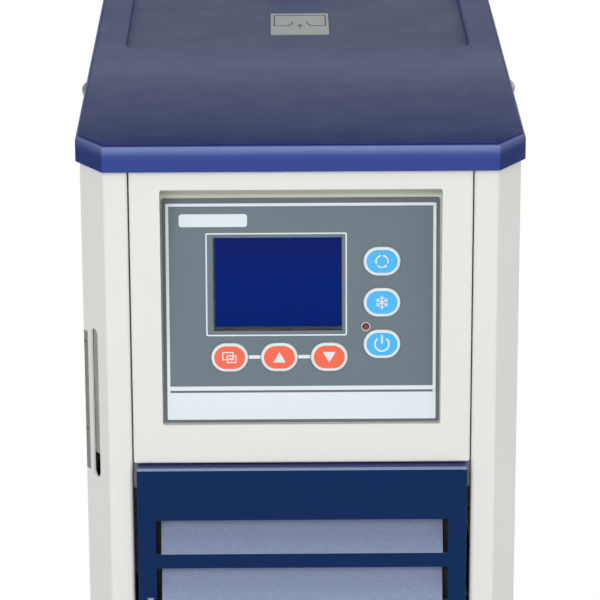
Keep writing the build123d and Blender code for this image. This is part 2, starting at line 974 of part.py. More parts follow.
def status_lamp():
    """Round lamp on the board with its dome just through the overlay."""
    height = board_depth + overlay_thickness
    body = Cylinder(lamp_radius, height, align=(Align.CENTER, Align.CENTER, Align.MIN))
    body += Pos(0, 0, height) * Sphere(lamp_radius)
    body += Cylinder(
        lamp_radius + lamp_collar, lamp_collar_height,
        align=(Align.CENTER, Align.CENTER, Align.MIN),
    )
    return keypad_plane(-board_depth) * Pos(lamp_x, lamp_height) * body


def control_board():
    """Board parallel to the pocket floor with one small push switch under each key."""
    face = Pos(0, board_low + board_height / 2) * Rectangle(board_width, board_height)
    board = extrude(face, -board_thickness)
    for name, x, h in keys():
        body = extrude(
            Rectangle(switch_body, switch_body), switch_body_height - switch_button_rise
        )
        body += extrude(Circle(switch_button / 2), switch_body_height)
        board += Pos(x, h) * body
    return keypad_plane(-board_depth) * board


def bracket_posts():
    """Four round posts from the pocket floor to the board."""
    posts = []
    length = board_depth - pocket_wall / 2
    for side in (-1, 1):
        for h in (board_low + standoff_inset_z, board_low + board_height - standoff_inset_z):
            post = extrude(Circle(standoff_radius), length)
            x = side * (board_width / 2 - standoff_inset_x)
            posts.append(keypad_plane(-board_depth) * Pos(x, h) * post)
    return posts


def level_axis():
    """Place of the sight tube's axis, x and depth."""
    along, out = chamfer_plane()[1:]
    point = Vector(-post_corner_x, 0, 0) + along * level_slot_offset - out * level_tube_standoff
    return point.X, point.Y


def level_ends():
    """Lower and upper end of the sight tube."""
    return level_slot_low - level_tube_overrun, level_slot_high + level_tube_overrun


def level_tube():
    """Clear sight tube behind the slot."""
    x, depth = level_axis()
    low, high = level_ends()
    tube = Cylinder(level_tube_radius, high - low, align=(Align.CENTER, Align.CENTER, Align.MIN))
    tube -= Cylinder(level_tube_bore, high - low, align=(Align.CENTER, Align.CENTER, Align.MIN))
    return Pos(x, behind(depth), low) * tube


def level_elbows():
    """Fittings that hold the tube at both ends, each with a barb that points back."""
    x, depth = level_axis()
    low, high = level_ends()
    elbows = []
    for z, up in ((low, 1), (high, -1)):
        start = z + up * level_elbow_socket
        body = rod(
            (x, behind(depth), start - up * level_elbow_height), (x, behind(depth), start),
            level_elbow_radius,
        )
        body -= rod(
            (x, behind(depth), z), (x, behind(depth), start + up), level_tube_radius + 0.1
        )
        barb_z = z - up * level_elbow_radius
        body += rod(
            (x, behind(depth), barb_z), (x, behind(depth + level_barb_reach), barb_z),
            level_barb_radius,
        )
        elbows.append(body)
    return elbows


def level_scale():
    """Narrow square-ended strip on the chamfer beside the sight slot."""
    plane = chamfer_plane()[0]
    face = Pos(-scale_offset, scale_low + scale_length / 2) * Rectangle(scale_width, scale_length)
    return extrude(plane * face, scale_thickness)


def rear_panel():
    """Flat rear sheet with the air grille and the service cut-outs."""
    half = half_width - fit_gap
    panel = block(-half, half, cabinet_depth - sheet, cabinet_depth, foot_height, cabinet_top)
    left = -half_width + grille_side_margin
    right = inlet_x - inlet_flange_width / 2 - grille_side_margin
    length = (right - left - grille_column_gap) / 2
    cut = Sketch()
    for i in range(grille_row_count):
        for x in (left + length / 2, right - length / 2):
            slot = SlotOverall(length, grille_slot_height)
            cut += Pos(x, grille_low + i * grille_pitch) * slot
    for x, z in ((nozzle_x, nozzle_height), (-nozzle_x, nozzle_height), (0, drain_height)):
        cut += Pos(x, z) * Circle(nozzle_thread_radius + fit_gap)
    cut += Pos(inlet_x, inlet_z) * Rectangle(inlet_cut_width, inlet_cut_height)
    cut += Pos(inlet_x, switch_z) * Rectangle(switch_cut_width, switch_cut_height)
    plane = Plane(origin=(0, behind(cabinet_depth), 0), x_dir=(1, 0, 0), z_dir=(0, -1, 0))
    return panel - extrude(plane * cut, 2 * sheet, both=True)


def shelf():
    """Folded shelf between the side panels, with holes for the pipes."""
    half = half_width - sheet
    rear = cabinet_depth - 2 * sheet
    top = shelf_height
    plate = block(-half, half, shelf_front, rear, top - shelf_flange, top)
    plate = fillet(plate.edges().filter_by(Axis.Z), bend)
    plate -= block(
        -half + shelf_sheet, half - shelf_sheet, shelf_front + shelf_sheet, rear - shelf_sheet,
        top - shelf_flange - 1, top - shelf_sheet,
    )
    for x, depth, radius in (
        (suction_x, suction_setback, suction_radius + shelf_hole_gap),
        (-drier_x, drier_setback, capillary_radius + shelf_hole_gap),
    ):
        plate -= Pos(x, behind(depth), top) * Cylinder(radius, 4 * shelf_sheet)
    return plate


def tank_nipples():
    """Start, end and radius of the nipples through the tank's front and rear walls."""
    front = behind(tank_front - jacket - nipple_reach)
    rear = behind(tank_rear + jacket + drain_nipple_reach)
    inner_front = behind(tank_front + tank_sheet)
    inner_rear = behind(tank_rear - tank_sheet)
    return [
        ((pump_x, front, pump_z), (pump_x, inner_front, pump_z), nipple_radius),
        (
            (-level_nipple_x, front, level_hose_z), (-level_nipple_x, inner_front, level_hose_z),
            level_barb_radius,
        ),
        ((0, rear, drain_height), (0, inner_rear, drain_height), nipple_radius),
    ]


def reservoir():
    """Welded tank with a rim, an outlet and a level nipple in front and a drain behind."""
    tank = block(
        -tank_half_width, tank_half_width, tank_front, tank_rear, tank_low - tank_sheet, tank_rim
    )
    tank = fillet(tank.edges().filter_by(Axis.Z), tank_corner)
    hollow = block(
        -tank_half_width + tank_sheet, tank_half_width - tank_sheet, tank_front + tank_sheet,
        tank_rear - tank_sheet, tank_low, tank_rim + tank_sheet,
    )
    tank -= fillet(hollow.edges().filter_by(Axis.Z), tank_corner - tank_sheet)
    for start, end, radius in tank_nipples():
        tank += rod(start, end, radius)
    for start, end, radius in tank_nipples():
        tank -= rod(start, end, radius * (1 - nipple_wall / nipple_radius))
    return tank


def reservoir_jacket():
    """Foam jacket round the tank's sides and bottom."""
    x = tank_half_width + jacket
    body = block(-x, x, tank_front - jacket, tank_rear + jacket, shelf_height, tank_rim)
    body = fillet(body.edges().filter_by(Axis.Z), jacket_corner)
    inner = tank_half_width + jacket_slack
    hollow = block(
        -inner, inner, tank_front - jacket_slack, tank_rear + jacket_slack,
        tank_low - tank_sheet, tank_rim + tank_sheet,
    )
    body -= fillet(hollow.edges().filter_by(Axis.Z), tank_corner)
    for start, end, radius in tank_nipples():
        body -= rod(start, end, radius + nipple_hole_gap)
    return body


def reservoir_lid():
    """Steel plate over the tank with the filler neck tube, pipe holes and the vent nipple."""
    x = tank_half_width + jacket - tank_lid_inset
    y0 = tank_front - jacket + tank_lid_inset
    y1 = tank_rear + jacket - tank_lid_inset
    plate = block(-x, x, y0, y1, tank_rim, tank_rim + tank_lid_sheet)
    plate = fillet(plate.edges().filter_by(Axis.Z), jacket_corner - tank_lid_inset)
    neck = (0, behind(neck_setback))
    neck_top = lid_tray_floor + neck_top_above_tray
    below = tank_rim - tank_lid_sheet
    plate += rod((*neck, tank_rim), (*neck, neck_top), neck_radius)
    plate -= rod((*neck, below), (*neck, neck_top + neck_wall), neck_radius - neck_wall)
    for x_hole, depth, radius in (
        (-coil_end_x, coil_setback, coil_radius + coil_hole_gap),
        (coil_end_x, coil_setback, coil_radius + coil_hole_gap),
        (0, probe_setback, probe_radius + cut_gap),
    ):
        plate -= Pos(x_hole, behind(depth), tank_rim) * Cylinder(radius, 4 * tank_lid_sheet)
    nipple_top = tank_rim + return_nipple_rise
    for depth, radius in ((return_setback, nipple_radius), (vent_setback, level_barb_radius)):
        foot = (-nipple_x, behind(depth))
        bore = radius * (1 - nipple_wall / nipple_radius)
        plate += rod((*foot, tank_rim), (*foot, nipple_top), radius)
        plate -= rod((*foot, below), (*foot, nipple_top + tank_lid_sheet), bore)
    return plate


def evaporator_coil():
    """Serpentine of copper tube that dips into the tank, its ends up through the lid."""
    x = -coil_end_x
    points = [(x, coil_setback, coil_top)]
    z = coil_low
    for i in range(coil_pass_count - 1):
        points.append((x, coil_setback, z))
        x += coil_pitch
        points.append((x, coil_setback, z))
        z = coil_high if z == coil_low else coil_low
    points.append((x, coil_setback, coil_top))
    return pipe(points, coil_radius, coil_pitch / 2 - 0.05)


def temperature_probe():
    """Sheathed probe that hangs from the reservoir lid into the coolant."""
    x, y = 0, behind(probe_setback)
    rise = tank_rim + tank_lid_sheet
    body = rod((x, y, coil_low + probe_length), (x, y, rise + probe_tail), probe_radius)
    return body + rod((x, y, rise), (x, y, rise + probe_head_height), probe_radius + probe_head)


def filler_cap():
    """Fluted cap with a plug that sits in the neck, turned to lock it."""
    z = lid_tray_floor + neck_top_above_tray + fit_gap
    x, y = 0, behind(neck_setback)
    cap = rod((x, y, z), (x, y, z + cap_height), cap_radius)
    cap = fillet(cap.faces().sort_by(Axis.Z)[-1].edges(), cap_edge)
    ring = cap_radius + cap_flute_radius * cap_flute_sink
    flute_top = z + cap_height - cap_flute_drop
    for i in range(cap_flute_count):
        angle = radians(i * 360 / cap_flute_count)
        place = (x + ring * cos(angle), y + ring * sin(angle))
        cap -= rod((*place, z - fit_gap), (*place, flute_top), cap_flute_radius)
    plug = neck_radius - neck_wall - fit_gap
    plug_low = z - cap_plug_depth
    cap += rod((x, y, plug_low), (x, y, z), plug)
    cap -= rod((x, y, plug_low - fit_gap), (x, y, z + cap_edge), plug - cap_plug_wall)
    return cap


def tail(x, z):
    """Part of a fitting that passes the rear panel: thread, nut and a nipple inside."""
    back = behind(cabinet_depth)
    inside = back - sheet - nozzle_thread
    body = rod((x, inside, z), (x, back, z), nozzle_thread_radius)
    body += rod((x, inside - nozzle_tail, z), (x, inside, z), nipple_radius)
    nut = extrude(RegularPolygon(nozzle_flange_radius, 6), nozzle_nut)
    return body + Plane(origin=(x, back - sheet, z), z_dir=(0, -1, 0)) * nut


def tail_end():
    """Depth where a hose on a fitting's inner nipple ends."""
    return cabinet_depth - sheet - nozzle_thread - 1


def bore_ends(x, z):
    """Two points outside both ends of a rear fitting, on its axis."""
    inside = behind(cabinet_depth - sheet - nozzle_thread - nozzle_tail - 1)
    return (x, inside, z), (x, behind(cabinet_depth + nozzle_reach + 1), z)


def spigot(x, start, length, z, radius, grooves):
    """Hose spigot that points back, with shallow grip grooves and a chamfered tip."""
    y0 = behind(start)
    body = rod((x, y0, z), (x, y0 + length, z), radius)
    body = chamfer(body.faces().sort_by(Axis.Y)[-1].edges(), spigot_chamfer)
    pitch = length / (grooves + 1)
    for i in range(grooves):
        y = y0 + pitch * (i + 1)
        ring = rod((x, y, z), (x, y + groove_width, z), radius + 1)
        ring -= rod((x, y - 1, z), (x, y + groove_width + 1, z), radius - groove_depth)
        body -= ring
    return body


def hose_nozzles():
    """Outlet and inlet nozzles through the rear panel."""
    back = behind(cabinet_depth)
    start = back + nozzle_flange_thickness
    z = nozzle_height
    nozzles = []
    for x in (nozzle_x, -nozzle_x):
        body = rod((x, back, z), (x, start, z), nozzle_flange_radius) + tail(x, z)
        body += spigot(
            x, cabinet_depth + nozzle_flange_thickness, nozzle_reach - nozzle_flange_thickness,
            z, nozzle_radius, nozzle_groove_count,
        )
        nozzles.append(body - rod(*bore_ends(x, z), nozzle_bore))
    return nozzles


def drain_valve():
    """Drain cock through the rear panel with a short outlet and a boss for its lever."""
    z = drain_height
    back = behind(cabinet_depth)
    flange_end = back + nozzle_flange_thickness
    body = rod((0, back, z), (0, flange_end, z), nozzle_flange_radius)
    body += tail(0, z)
    body += rod((0, flange_end, z), (0, back + drain_body_length, z), drain_body_radius)
    body += spigot(0, cabinet_depth + drain_body_length, drain_spigot_length, z, nipple_radius, 0)
    stem = (0, back + drain_stem_depth)
    body += rod((*stem, z), (*stem, z + drain_stem_height), drain_stem_radius)
    return body - rod(*bore_ends(0, z), drain_bore)


def drain_lever():
    """Flat lever on the drain cock's stem, along the outlet when open."""
    z = drain_height + drain_stem_height + fit_gap
    y = behind(cabinet_depth) + drain_stem_depth
    hub = rod((0, y, z), (0, y, z + drain_hub_height), drain_hub_radius)
    arm = Box(
        drain_lever_length, drain_lever_width, drain_lever_thickness,
        align=(Align.MIN, Align.CENTER, Align.MIN),
    )
    arm = fillet(arm.edges().filter_by(Axis.Z), drain_lever_width / 3)
    return hub + Pos(0, y, z + (drain_hub_height - drain_lever_thickness) / 2) * arm


def pump_motor():
    """Pump motor: ribbed drum with its foot and terminal box."""
    y0, y1 = pump_front, pump_front + pump_motor_length
    axis = (pump_x, pump_z)
    drum = along_y(axis, y0, y1, pump_motor_radius)
    drum = fillet(drum.faces().sort_by(Axis.Y)[0].edges(), pump_edge)
    for i in range(pump_groove_count):
        y = y0 + pump_groove_first + i * pump_groove_pitch
        groove = along_y(axis, y, y + pump_groove_width, pump_motor_radius + pump_groove_depth)
        groove -= along_y(
            axis, y - 1, y + pump_groove_width + 1, pump_motor_radius - pump_groove_depth
        )
        drum -= groove
    foot_top = shelf_height + pump_foot_thickness
    foot = block(
        pump_x - pump_foot_width / 2, pump_x + pump_foot_width / 2, y0 + pump_foot_front,
        y1 - pump_foot_rear, shelf_height, foot_top,
    )
    web = block(
        pump_x - pump_web_width / 2, pump_x + pump_web_width / 2,
        y0 + pump_foot_front + pump_web_inset, y1 - pump_foot_rear - pump_web_inset,
        foot_top, pump_z - pump_motor_radius / 2,
    )
    terminal = block(
        pump_x - pump_box_width / 2, pump_x + pump_box_width / 2, y0 + pump_groove_first,
        y0 + pump_groove_first + pump_box_length, pump_z + pump_motor_radius / 2,
        pump_z + pump_motor_radius + pump_box_rise,
    )
    return drum + foot + web + terminal


def pump_head():
    """Pump volute with an axial suction nipple and a side delivery nipple."""
    y0 = pump_front + pump_motor_length
    y1 = y0 + pump_head_length
    axis = (pump_x, pump_z)
    head = along_y(axis, y0, y1, pump_head_radius)
    head = fillet(head.faces().sort_by(Axis.Y)[-1].edges(), pump_edge)
    head += along_y(axis, y1 - pump_edge, y1 + pump_nipple_length, nipple_radius)
    mid = behind((y0 + y1) / 2)
    rim_x = pump_x + pump_head_radius
    end_x = rim_x + pump_nipple_length
    head += rod((rim_x - pump_edge, mid, pump_z), (end_x, mid, pump_z), nipple_radius)
    bore = nipple_radius - nipple_wall
    head -= along_y(axis, y1 - pump_edge, y1 + pump_nipple_length + 1, bore)
    return head - rod((rim_x - pump_edge, mid, pump_z), (end_x + 1, mid, pump_z), bore)


def sleeve(x, start, end, z, nipple):
    """Straight piece of hose over two nipples that face each other."""
    inner = nipple + hose_slack
    return along_y((x, z), start, end, inner + hose_wall) - along_y(
        (x, z), start - 1, end + 1, inner
    )


def hose(points, nipple, corner):
    """Hose over nipples of the given radius, along straight runs and arcs."""
    bore = nipple + hose_slack
    return pipe(points, bore + hose_wall, corner, bore)


def short_hoses():
    """Straight hoses from the tank to the pump and to the drain cock."""
    pump_face = pump_front + pump_motor_length + pump_head_length
    return [
        sleeve(pump_x, pump_face + 1, tank_front - jacket - 1, pump_z, nipple_radius),
        sleeve(0, tank_rear + jacket + 1, tail_end(), drain_height, nipple_radius),
    ]


def delivery_hose():
    """Hose from the pump's side nipple to the outlet nozzle."""
    mid = pump_front + pump_motor_length + pump_head_length / 2
    start = pump_x + pump_head_radius + 1
    points = [
        (start, mid, pump_z), (nozzle_x, mid, pump_z), (nozzle_x, tail_end(), pump_z),
    ]
    return hose(points, nipple_radius, hose_bend)


def return_hose():
    """Hose from the inlet nozzle up beside the tank and over to its lid."""
    top = tank_rim + return_nipple_rise + hose_bend + 2
    points = [
        (-nozzle_x, tail_end(), nozzle_height),
        (-nozzle_x, return_setback, nozzle_height),
        (-nozzle_x, return_setback, top),
        (-nipple_x, return_setback, top),
        (-nipple_x, return_setback, tank_rim + tank_lid_sheet + 1),
    ]
    return hose(points, nipple_radius, hose_bend)


def level_hose():
    """Small hose from the lower elbow to the tank's front nipple."""
    x, depth = level_axis()
    start = depth + level_elbow_radius + 1
    end = tank_front - jacket - 1
    turn = end - 2 * level_hose_bend
    points = [
        (x, start, level_hose_z), (x, turn, level_hose_z),
        (-level_nipple_x, turn, level_hose_z), (-level_nipple_x, end, level_hose_z),
    ]
    return hose(points, level_barb_radius, level_hose_bend)


def vent_hose():
    """Small hose from the upper elbow to the vent nipple on the reservoir lid."""
    x, depth = level_axis()
    z = level_ends()[1] + level_elbow_radius
    top = tank_rim + return_nipple_rise + level_hose_bend + 2
    points = [
        (x, depth + level_elbow_radius + 1, z), (x, vent_setback, z),
        (x, vent_setback, top), (-nipple_x, vent_setback, top),
        (-nipple_x, vent_setback, tank_rim + tank_lid_sheet + 1),
    ]
    return hose(points, level_barb_radius, level_hose_bend)


def condenser_core():
    """Finned block: end plates, top and bottom rails and a stack of thin upright fins."""
    x = condenser_half_width
    core = block(-x, x, condenser_front, condenser_rear, condenser_low, condenser_top)
    core -= block(
        -x + condenser_frame, x - condenser_frame, condenser_front - 1, condenser_rear + 1,
        condenser_low + condenser_frame, condenser_top - condenser_frame,
    )
    step = 2 * x / (fin_count + 1)
    for i in range(fin_count):
        fin_x = -x + step * (i + 1)
        core += block(
            fin_x - fin_thickness / 2, fin_x + fin_thickness / 2,
            condenser_front + fin_inset, condenser_rear - fin_inset,
            condenser_low + fin_inset, condenser_top - fin_inset,
        )
    for inner, outer in ((-x, -x + condenser_leg), (x - condenser_leg, x)):
        core += block(
            inner, outer, condenser_front, condenser_rear, foot_height + sheet, condenser_low
        )
    return core


def condenser_tubes():
    """Return bends of the condenser tube outside both end plates."""
    bends = []
    for side in (-1, 1):
        near = side * condenser_half_width
        far = side * (condenser_half_width + return_bend_reach)
        for i in range(return_bend_count):
            low = condenser_low + return_bend_first + i * return_bend_pitch
            high = low + return_bend_span
            points = [
                (near, condenser_middle, low), (far, condenser_middle, low),
                (far, condenser_middle, high), (near, condenser_middle, high),
            ]
            bends.append(pipe(points, condenser_tube_radius, return_bend_corner))
    return bends


def fan_shroud():
    """Plate behind the condenser with the fan's ring and a three-armed motor seat."""
    y0 = condenser_rear
    y1 = y0 + shroud_ring
    axis = (0, fan_z)
    hole = fan_radius + fan_tip_gap
    plate = block(
        -condenser_half_width, condenser_half_width, y0, y0 + shroud_sheet,
        condenser_low, condenser_top,
    )
    plate += along_y(axis, y0, y1, hole + shroud_sheet)
    plate -= along_y(axis, y0 - 1, y1 + 1, hole)
    seat = along_y(axis, y1, y1 + arm_thickness, fan_motor_radius)
    arm = Box(
        hole + shroud_sheet, arm_thickness, arm_width, align=(Align.MIN, Align.MIN, Align.CENTER)
    )
    for i in range(3):
        seat += Pos(0, behind(y1), fan_z) * Rot(0, 90 + i * 120, 0) * arm
    return plate + seat - along_y(axis, y1 - 1, y1 + seat_lip, fan_motor_radius - seat_lip)


def fan_motor():
    """Small can motor on the shroud's seat, bored for the fan's shaft."""
    seat = condenser_rear + shroud_ring
    y0 = seat + arm_thickness
    axis = (0, fan_z)
    can = along_y(axis, y0, y0 + fan_motor_length, fan_motor_radius)
    can = fillet(can.faces().sort_by(Axis.Y)[-1].edges(), fan_motor_edge)
    can += along_y(axis, seat, y0, fan_motor_radius - seat_lip - fit_gap)
    return can - along_y(
        axis, seat - 1, y0 + fan_shaft_reach + fit_gap, fan_shaft_radius + fit_gap
    )


def fan_blade():
    """Fan wheel: hub, pitched blades and the shaft that runs into the motor."""
    axis = (0, fan_z)
    front = fan_back - fan_hub_length
    wheel = along_y(axis, front, fan_back, fan_hub_radius)
    blade = Box(
        fan_radius, fan_blade_thickness, fan_blade_chord,
        align=(Align.MIN, Align.CENTER, Align.CENTER),
    )
    blade = Pos(fan_hub_radius - fan_blade_root, 0, 0) * Rot(fan_blade_pitch, 0, 0) * blade
    place = Pos(0, behind((front + fan_back) / 2), fan_z)
    for i in range(fan_blade_count):
        wheel += place * Rot(0, i * 360 / fan_blade_count, 0) * blade
    wheel &= along_y(axis, front - fan_hub_length, fan_back + fan_hub_length, fan_radius)
    shaft_end = fan_back + fan_hub_gap + arm_thickness + fan_shaft_reach
    return wheel + along_y(axis, fan_back - fan_hub_length / 2, shaft_end, fan_shaft_radius)


def compressor():
    """Welded hermetic compressor shell with its foot plate and pipe stubs."""
    shell = Cylinder(
        compressor_radius, compressor_height, align=(Align.CENTER, Align.CENTER, Align.MIN)
    )
    shell = fillet(shell.faces().sort_by(Axis.Z)[-1].edges(), compressor_crown)
    shell = fillet(shell.faces().sort_by(Axis.Z)[0].edges(), compressor_crown / 2)
    seam = Cylinder(
        compressor_radius + compressor_seam, compressor_seam_height,
        align=(Align.CENTER, Align.CENTER, Align.MIN),
    )
    shell += Pos(0, 0, compressor_height * compressor_seam_share) * seam
    place = Pos(0, behind(compressor_setback), compressor_base)
    body = place * Pos(0, 0, compressor_foot) * shell
    side = mount_pitch + 2 * compressor_foot_margin
    foot = Box(side, side, compressor_foot, align=(Align.CENTER, Align.CENTER, Align.MIN))
    foot = fillet(foot.edges().filter_by(Axis.Z), compressor_foot_corner)
    for x, y in mount_places():
        foot -= Pos(x, y, 0) * Cylinder(mount_hole, 4 * compressor_foot)
    body += place * foot
    for x, z in ((-stub_x, discharge_z), (stub_x, suction_z)):
        body += along_y(
            (x, z), stub_setback, compressor_setback - stub_sink, suction_radius + stub_wall
        )
    return body


def mount_places():
    """Corners of the compressor's mounting square, from its centre."""
    half = mount_pitch / 2
    return [(sx * half, sy * half) for sx in (-1, 1) for sy in (-1, 1)]


def compressor_mounts():
    """Rubber grommets between the base tray and the compressor's foot plate."""
    mounts = []
    low = foot_height + sheet
    cap_low = compressor_base + compressor_foot + cap_lift
    top = cap_low + mount_cap_height
    for x, y in mount_places():
        place = (x, behind(compressor_setback) + y)
        mount = rod((*place, low), (*place, compressor_base), mount_radius)
        mount += rod((*place, compressor_base), (*place, top), mount_stem)
        mount += rod((*place, cap_low), (*place, top), mount_cap_radius)
        mounts.append(mount)
    return mounts


def terminal_cover():
    """Plastic cover over the compressor's terminals."""
    x0 = compressor_radius - terminal_sink
    low = compressor_base + terminal_low
    cover = block(
        x0, x0 + terminal_reach, compressor_setback - terminal_half_width,
        compressor_setback + terminal_half_width, low, low + terminal_height,
    )
    cover = fillet(cover.edges().filter_by(Axis.X), terminal_corner)
    middle = (0, behind(compressor_setback))
    return cover - rod(
        (*middle, low - 1), (*middle, low + terminal_height + 1), compressor_radius + shell_gap
    )


def discharge_pipe():
    """Hot gas pipe from the compressor to the top of the condenser."""
    run = stub_setback - discharge_run
    side_x = condenser_half_width + discharge_side
    low = condenser_top - discharge_drop
    high = condenser_top + discharge_climb
    points = [
        (-stub_x, stub_setback, discharge_z), (-stub_x, run, discharge_z),
        (-stub_x, run, high), (side_x, run, high), (side_x, condenser_middle, high),
        (side_x, condenser_middle, low), (condenser_half_width, condenser_middle, low),
    ]
    return pipe(points, discharge_radius, discharge_bend)


def liquid_line():
    """Pipe from the bottom of the condenser to the filter drier."""
    z = condenser_low + liquid_rise
    points = [
        (-condenser_half_width, condenser_middle, z), (-drier_x, condenser_middle, z),
        (-drier_x, drier_setback, z), (-drier_x, drier_setback, drier_low),
    ]
    return pipe(points, liquid_radius, liquid_bend) + filter_drier()


def filter_drier():
    """Copper filter drier with coned ends, upright beside the compressor."""
    neck = liquid_radius + drier_neck_wall
    shoulder = drier_neck + drier_cone
    section = Polyline(
        (0, 0), (neck, 0), (neck, drier_neck), (drier_radius, shoulder),
        (drier_radius, drier_length - shoulder), (neck, drier_length - drier_neck),
        (neck, drier_length), (0, drier_length), close=True,
    )
    drier = revolve(Plane.XZ * make_face(section.edges()), Axis.Z)
    return Pos(-drier_x, behind(drier_setback), drier_low) * drier


def capillary():
    """Thin capillary from the drier up beside the tank and over to the coil."""
    high = tank_rim + capillary_climb
    points = [
        (-drier_x, drier_setback, drier_low + drier_length),
        (-drier_x, drier_setback, high), (-drier_x, coil_setback, high),
        (-coil_end_x, coil_setback, high), (-coil_end_x, coil_setback, coil_top),
    ]
    return pipe(points, capillary_radius, capillary_bend)


def suction_pipe():
    """Cold gas pipe from the coil back down to the compressor."""
    high = tank_rim + suction_climb
    points = [
        (coil_end_x, coil_setback, coil_top), (coil_end_x, coil_setback, high),
        (suction_x, coil_setback, high), (suction_x, suction_setback, high),
        (suction_x, suction_setback, suction_z), (stub_x, suction_setback, suction_z),
        (stub_x, stub_setback, suction_z),
    ]
    return pipe(points, suction_radius, suction_bend)


def electrical_box():
    """Lidded box on the shelf with the relay and the start capacitor."""
    half = box_width / 2
    top = shelf_height + box_height
    box = block(
        box_x - half, box_x + half, box_front, box_front + box_depth, shelf_height, top
    )
    box = fillet(box.edges().filter_by(Axis.Z), box_corner)
    grown = half + box_lid_overhang
    lid = block(
        box_x - grown, box_x + grown, box_front - box_lid_overhang,
        box_front + box_depth + box_lid_overhang, top - box_lid_skirt, top + box_wall,
    )
    return box + fillet(lid.edges().filter_by(Axis.Z), box_corner)


def centred(x, z, width, height, near, far):
    """Box round a point of the rear panel, near and far as depth behind the front plane."""
    return block(x - width / 2, x + width / 2, near, far, z - height / 2, z + height / 2)


def power_inlet():
    """Three-pin appliance inlet in the rear panel."""
    back = cabinet_depth
    face = back + inlet_flange
    flange = centred(inlet_x, inlet_z, inlet_flange_width, inlet_flange_height, back, face)
    inlet = fillet(flange.edges().filter_by(Axis.Y), inlet_flange_corner)
    inlet += centred(
        inlet_x, inlet_z, inlet_cut_width - 2 * cut_gap, inlet_cut_height - 2 * cut_gap,
        back - inlet_depth, face,
    )
    inlet -= centred(
        inlet_x, inlet_z, inlet_socket_width, inlet_socket_height, back - inlet_socket_depth,
        face + 1,
    )
    for side, lift in ((-1, -1), (0, 1), (1, -1)):
        inlet += centred(
            inlet_x + side * inlet_pin_pitch, inlet_z + lift * inlet_pin_step,
            inlet_pin, inlet_pin_height, back - inlet_socket_depth - 1, back - inlet_pin,
        )
    return inlet


def switch_frame():
    """Bezel of the power switch, clipped into the rear panel."""
    width, height = switch_cut_width, switch_cut_height
    back = cabinet_depth
    frame = centred(
        inlet_x, switch_z, width + 2 * switch_flange, height + 2 * switch_flange,
        back, back + switch_flange,
    )
    frame += centred(
        inlet_x, switch_z, width - 2 * cut_gap, height - 2 * cut_gap,
        back - switch_depth, back + switch_flange,
    )
    return frame - centred(
        inlet_x, switch_z, width - 2 * switch_wall, height - 2 * switch_wall,
        back - switch_well, back + switch_flange + 1,
    )


def power_switch():
    """Rocker of the power switch, tilted to one side about its upright axis."""
    half = switch_cut_width / 2 - rocker_inset
    section = make_face(
        Polyline(
            (-half, -rocker_skirt), (-half, rocker_rise), (0, rocker_waist), (half, rocker_rise),
            (half, -rocker_skirt), (rocker_tail_half, -rocker_tail),
            (-rocker_tail_half, -rocker_tail), close=True,
        ).edges()
    )
    rocker = extrude(section, switch_cut_height / 2 - rocker_side_inset, both=True)
    place = Pos(inlet_x, behind(cabinet_depth - rocker_depth), switch_z)
    return place * Rot(0, 0, switch_tilt) * rocker


def rear_screws():
    """Pan-head screws that hold the rear panel on the side panels' returns."""
    screws = []
    back = behind(cabinet_depth)
    low = foot_height + rear_screw_inset
    high = cabinet_top - rear_screw_inset
    for side in (-1, 1):
        x = side * (half_width - rear_return / 2)
        for z in (low, (low + high) / 2, high):
            head = rod((x, back, z), (x, back + rear_screw_head, z), rear_screw_radius)
            head = fillet(head.faces().sort_by(Axis.Y)[-1].edges(), rear_screw_edge)
            screws.append(head)
    return screws


def makers():
    """Maker of each sub-part by name."""
    table = {
        "base_tray": base_tray,
        "feet": feet,
        "left_side_panel": lambda: drill_lid_screws(left_side_panel()),
        "right_side_panel": lambda: drill_lid_screws(side_panel()),
        "rear_panel": rear_panel,
        "rear_screws": rear_screws,
        "front_panel": front_panel,
        "lower_front_panel": lower_front_panel,
        "front_rail": front_rail,
        "top_cover": top_cover,
        "lid_screws": lid_screws,
        "fill_label": fill_label,
        "control_bracket": control_bracket,
        "keypad_overlay": keypad_overlay,
        "display_window": display_window,
        "display_module": display_module,
        "status_lamp": status_lamp,
        "control_board": control_board,
        "level_tube": level_tube,
        "level_elbows": level_elbows,
        "level_scale": level_scale,
        "shelf": shelf,
        "reservoir": reservoir,
        "reservoir_jacket": reservoir_jacket,
        "reservoir_lid": reservoir_lid,
        "evaporator_coil": evaporator_coil,
        "temperature_probe": temperature_probe,
        "filler_cap": filler_cap,
        "hose_nozzles": hose_nozzles,
        "drain_valve": drain_valve,
        "drain_lever": drain_lever,
        "pump_motor": pump_motor,
        "pump_head": pump_head,
        "short_hoses": short_hoses,
        "delivery_hose": delivery_hose,
        "return_hose": return_hose,
        "level_hose": level_hose,
        "vent_hose": vent_hose,
        "condenser_core": condenser_core,
        "condenser_tubes": condenser_tubes,
        "fan_shroud": fan_shroud,
        "fan_motor": fan_motor,
        "fan_blade": fan_blade,
        "compressor": compressor,
        "compressor_mounts": compressor_mounts,
        "terminal_cover": terminal_cover,
        "discharge_pipe": discharge_pipe,
        "liquid_line": liquid_line,
        "capillary": capillary,
        "suction_pipe": suction_pipe,
        "electrical_box": electrical_box,
        "power_inlet": power_inlet,
        "switch_frame": switch_frame,
        "power_switch": power_switch,
    }
    for name, x, h in keys():
        table[name] = lambda x=x, h=h: key(x, h)
    return table


for name, make in makers().items():
    shape = make()
    if isinstance(shape, list):
        shape = Compound(children=shape)
    export_step(shape, f"parts/{name}.step")
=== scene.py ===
from math import cos, pi, radians, sin

import bpy
from mathutils import Matrix, Vector


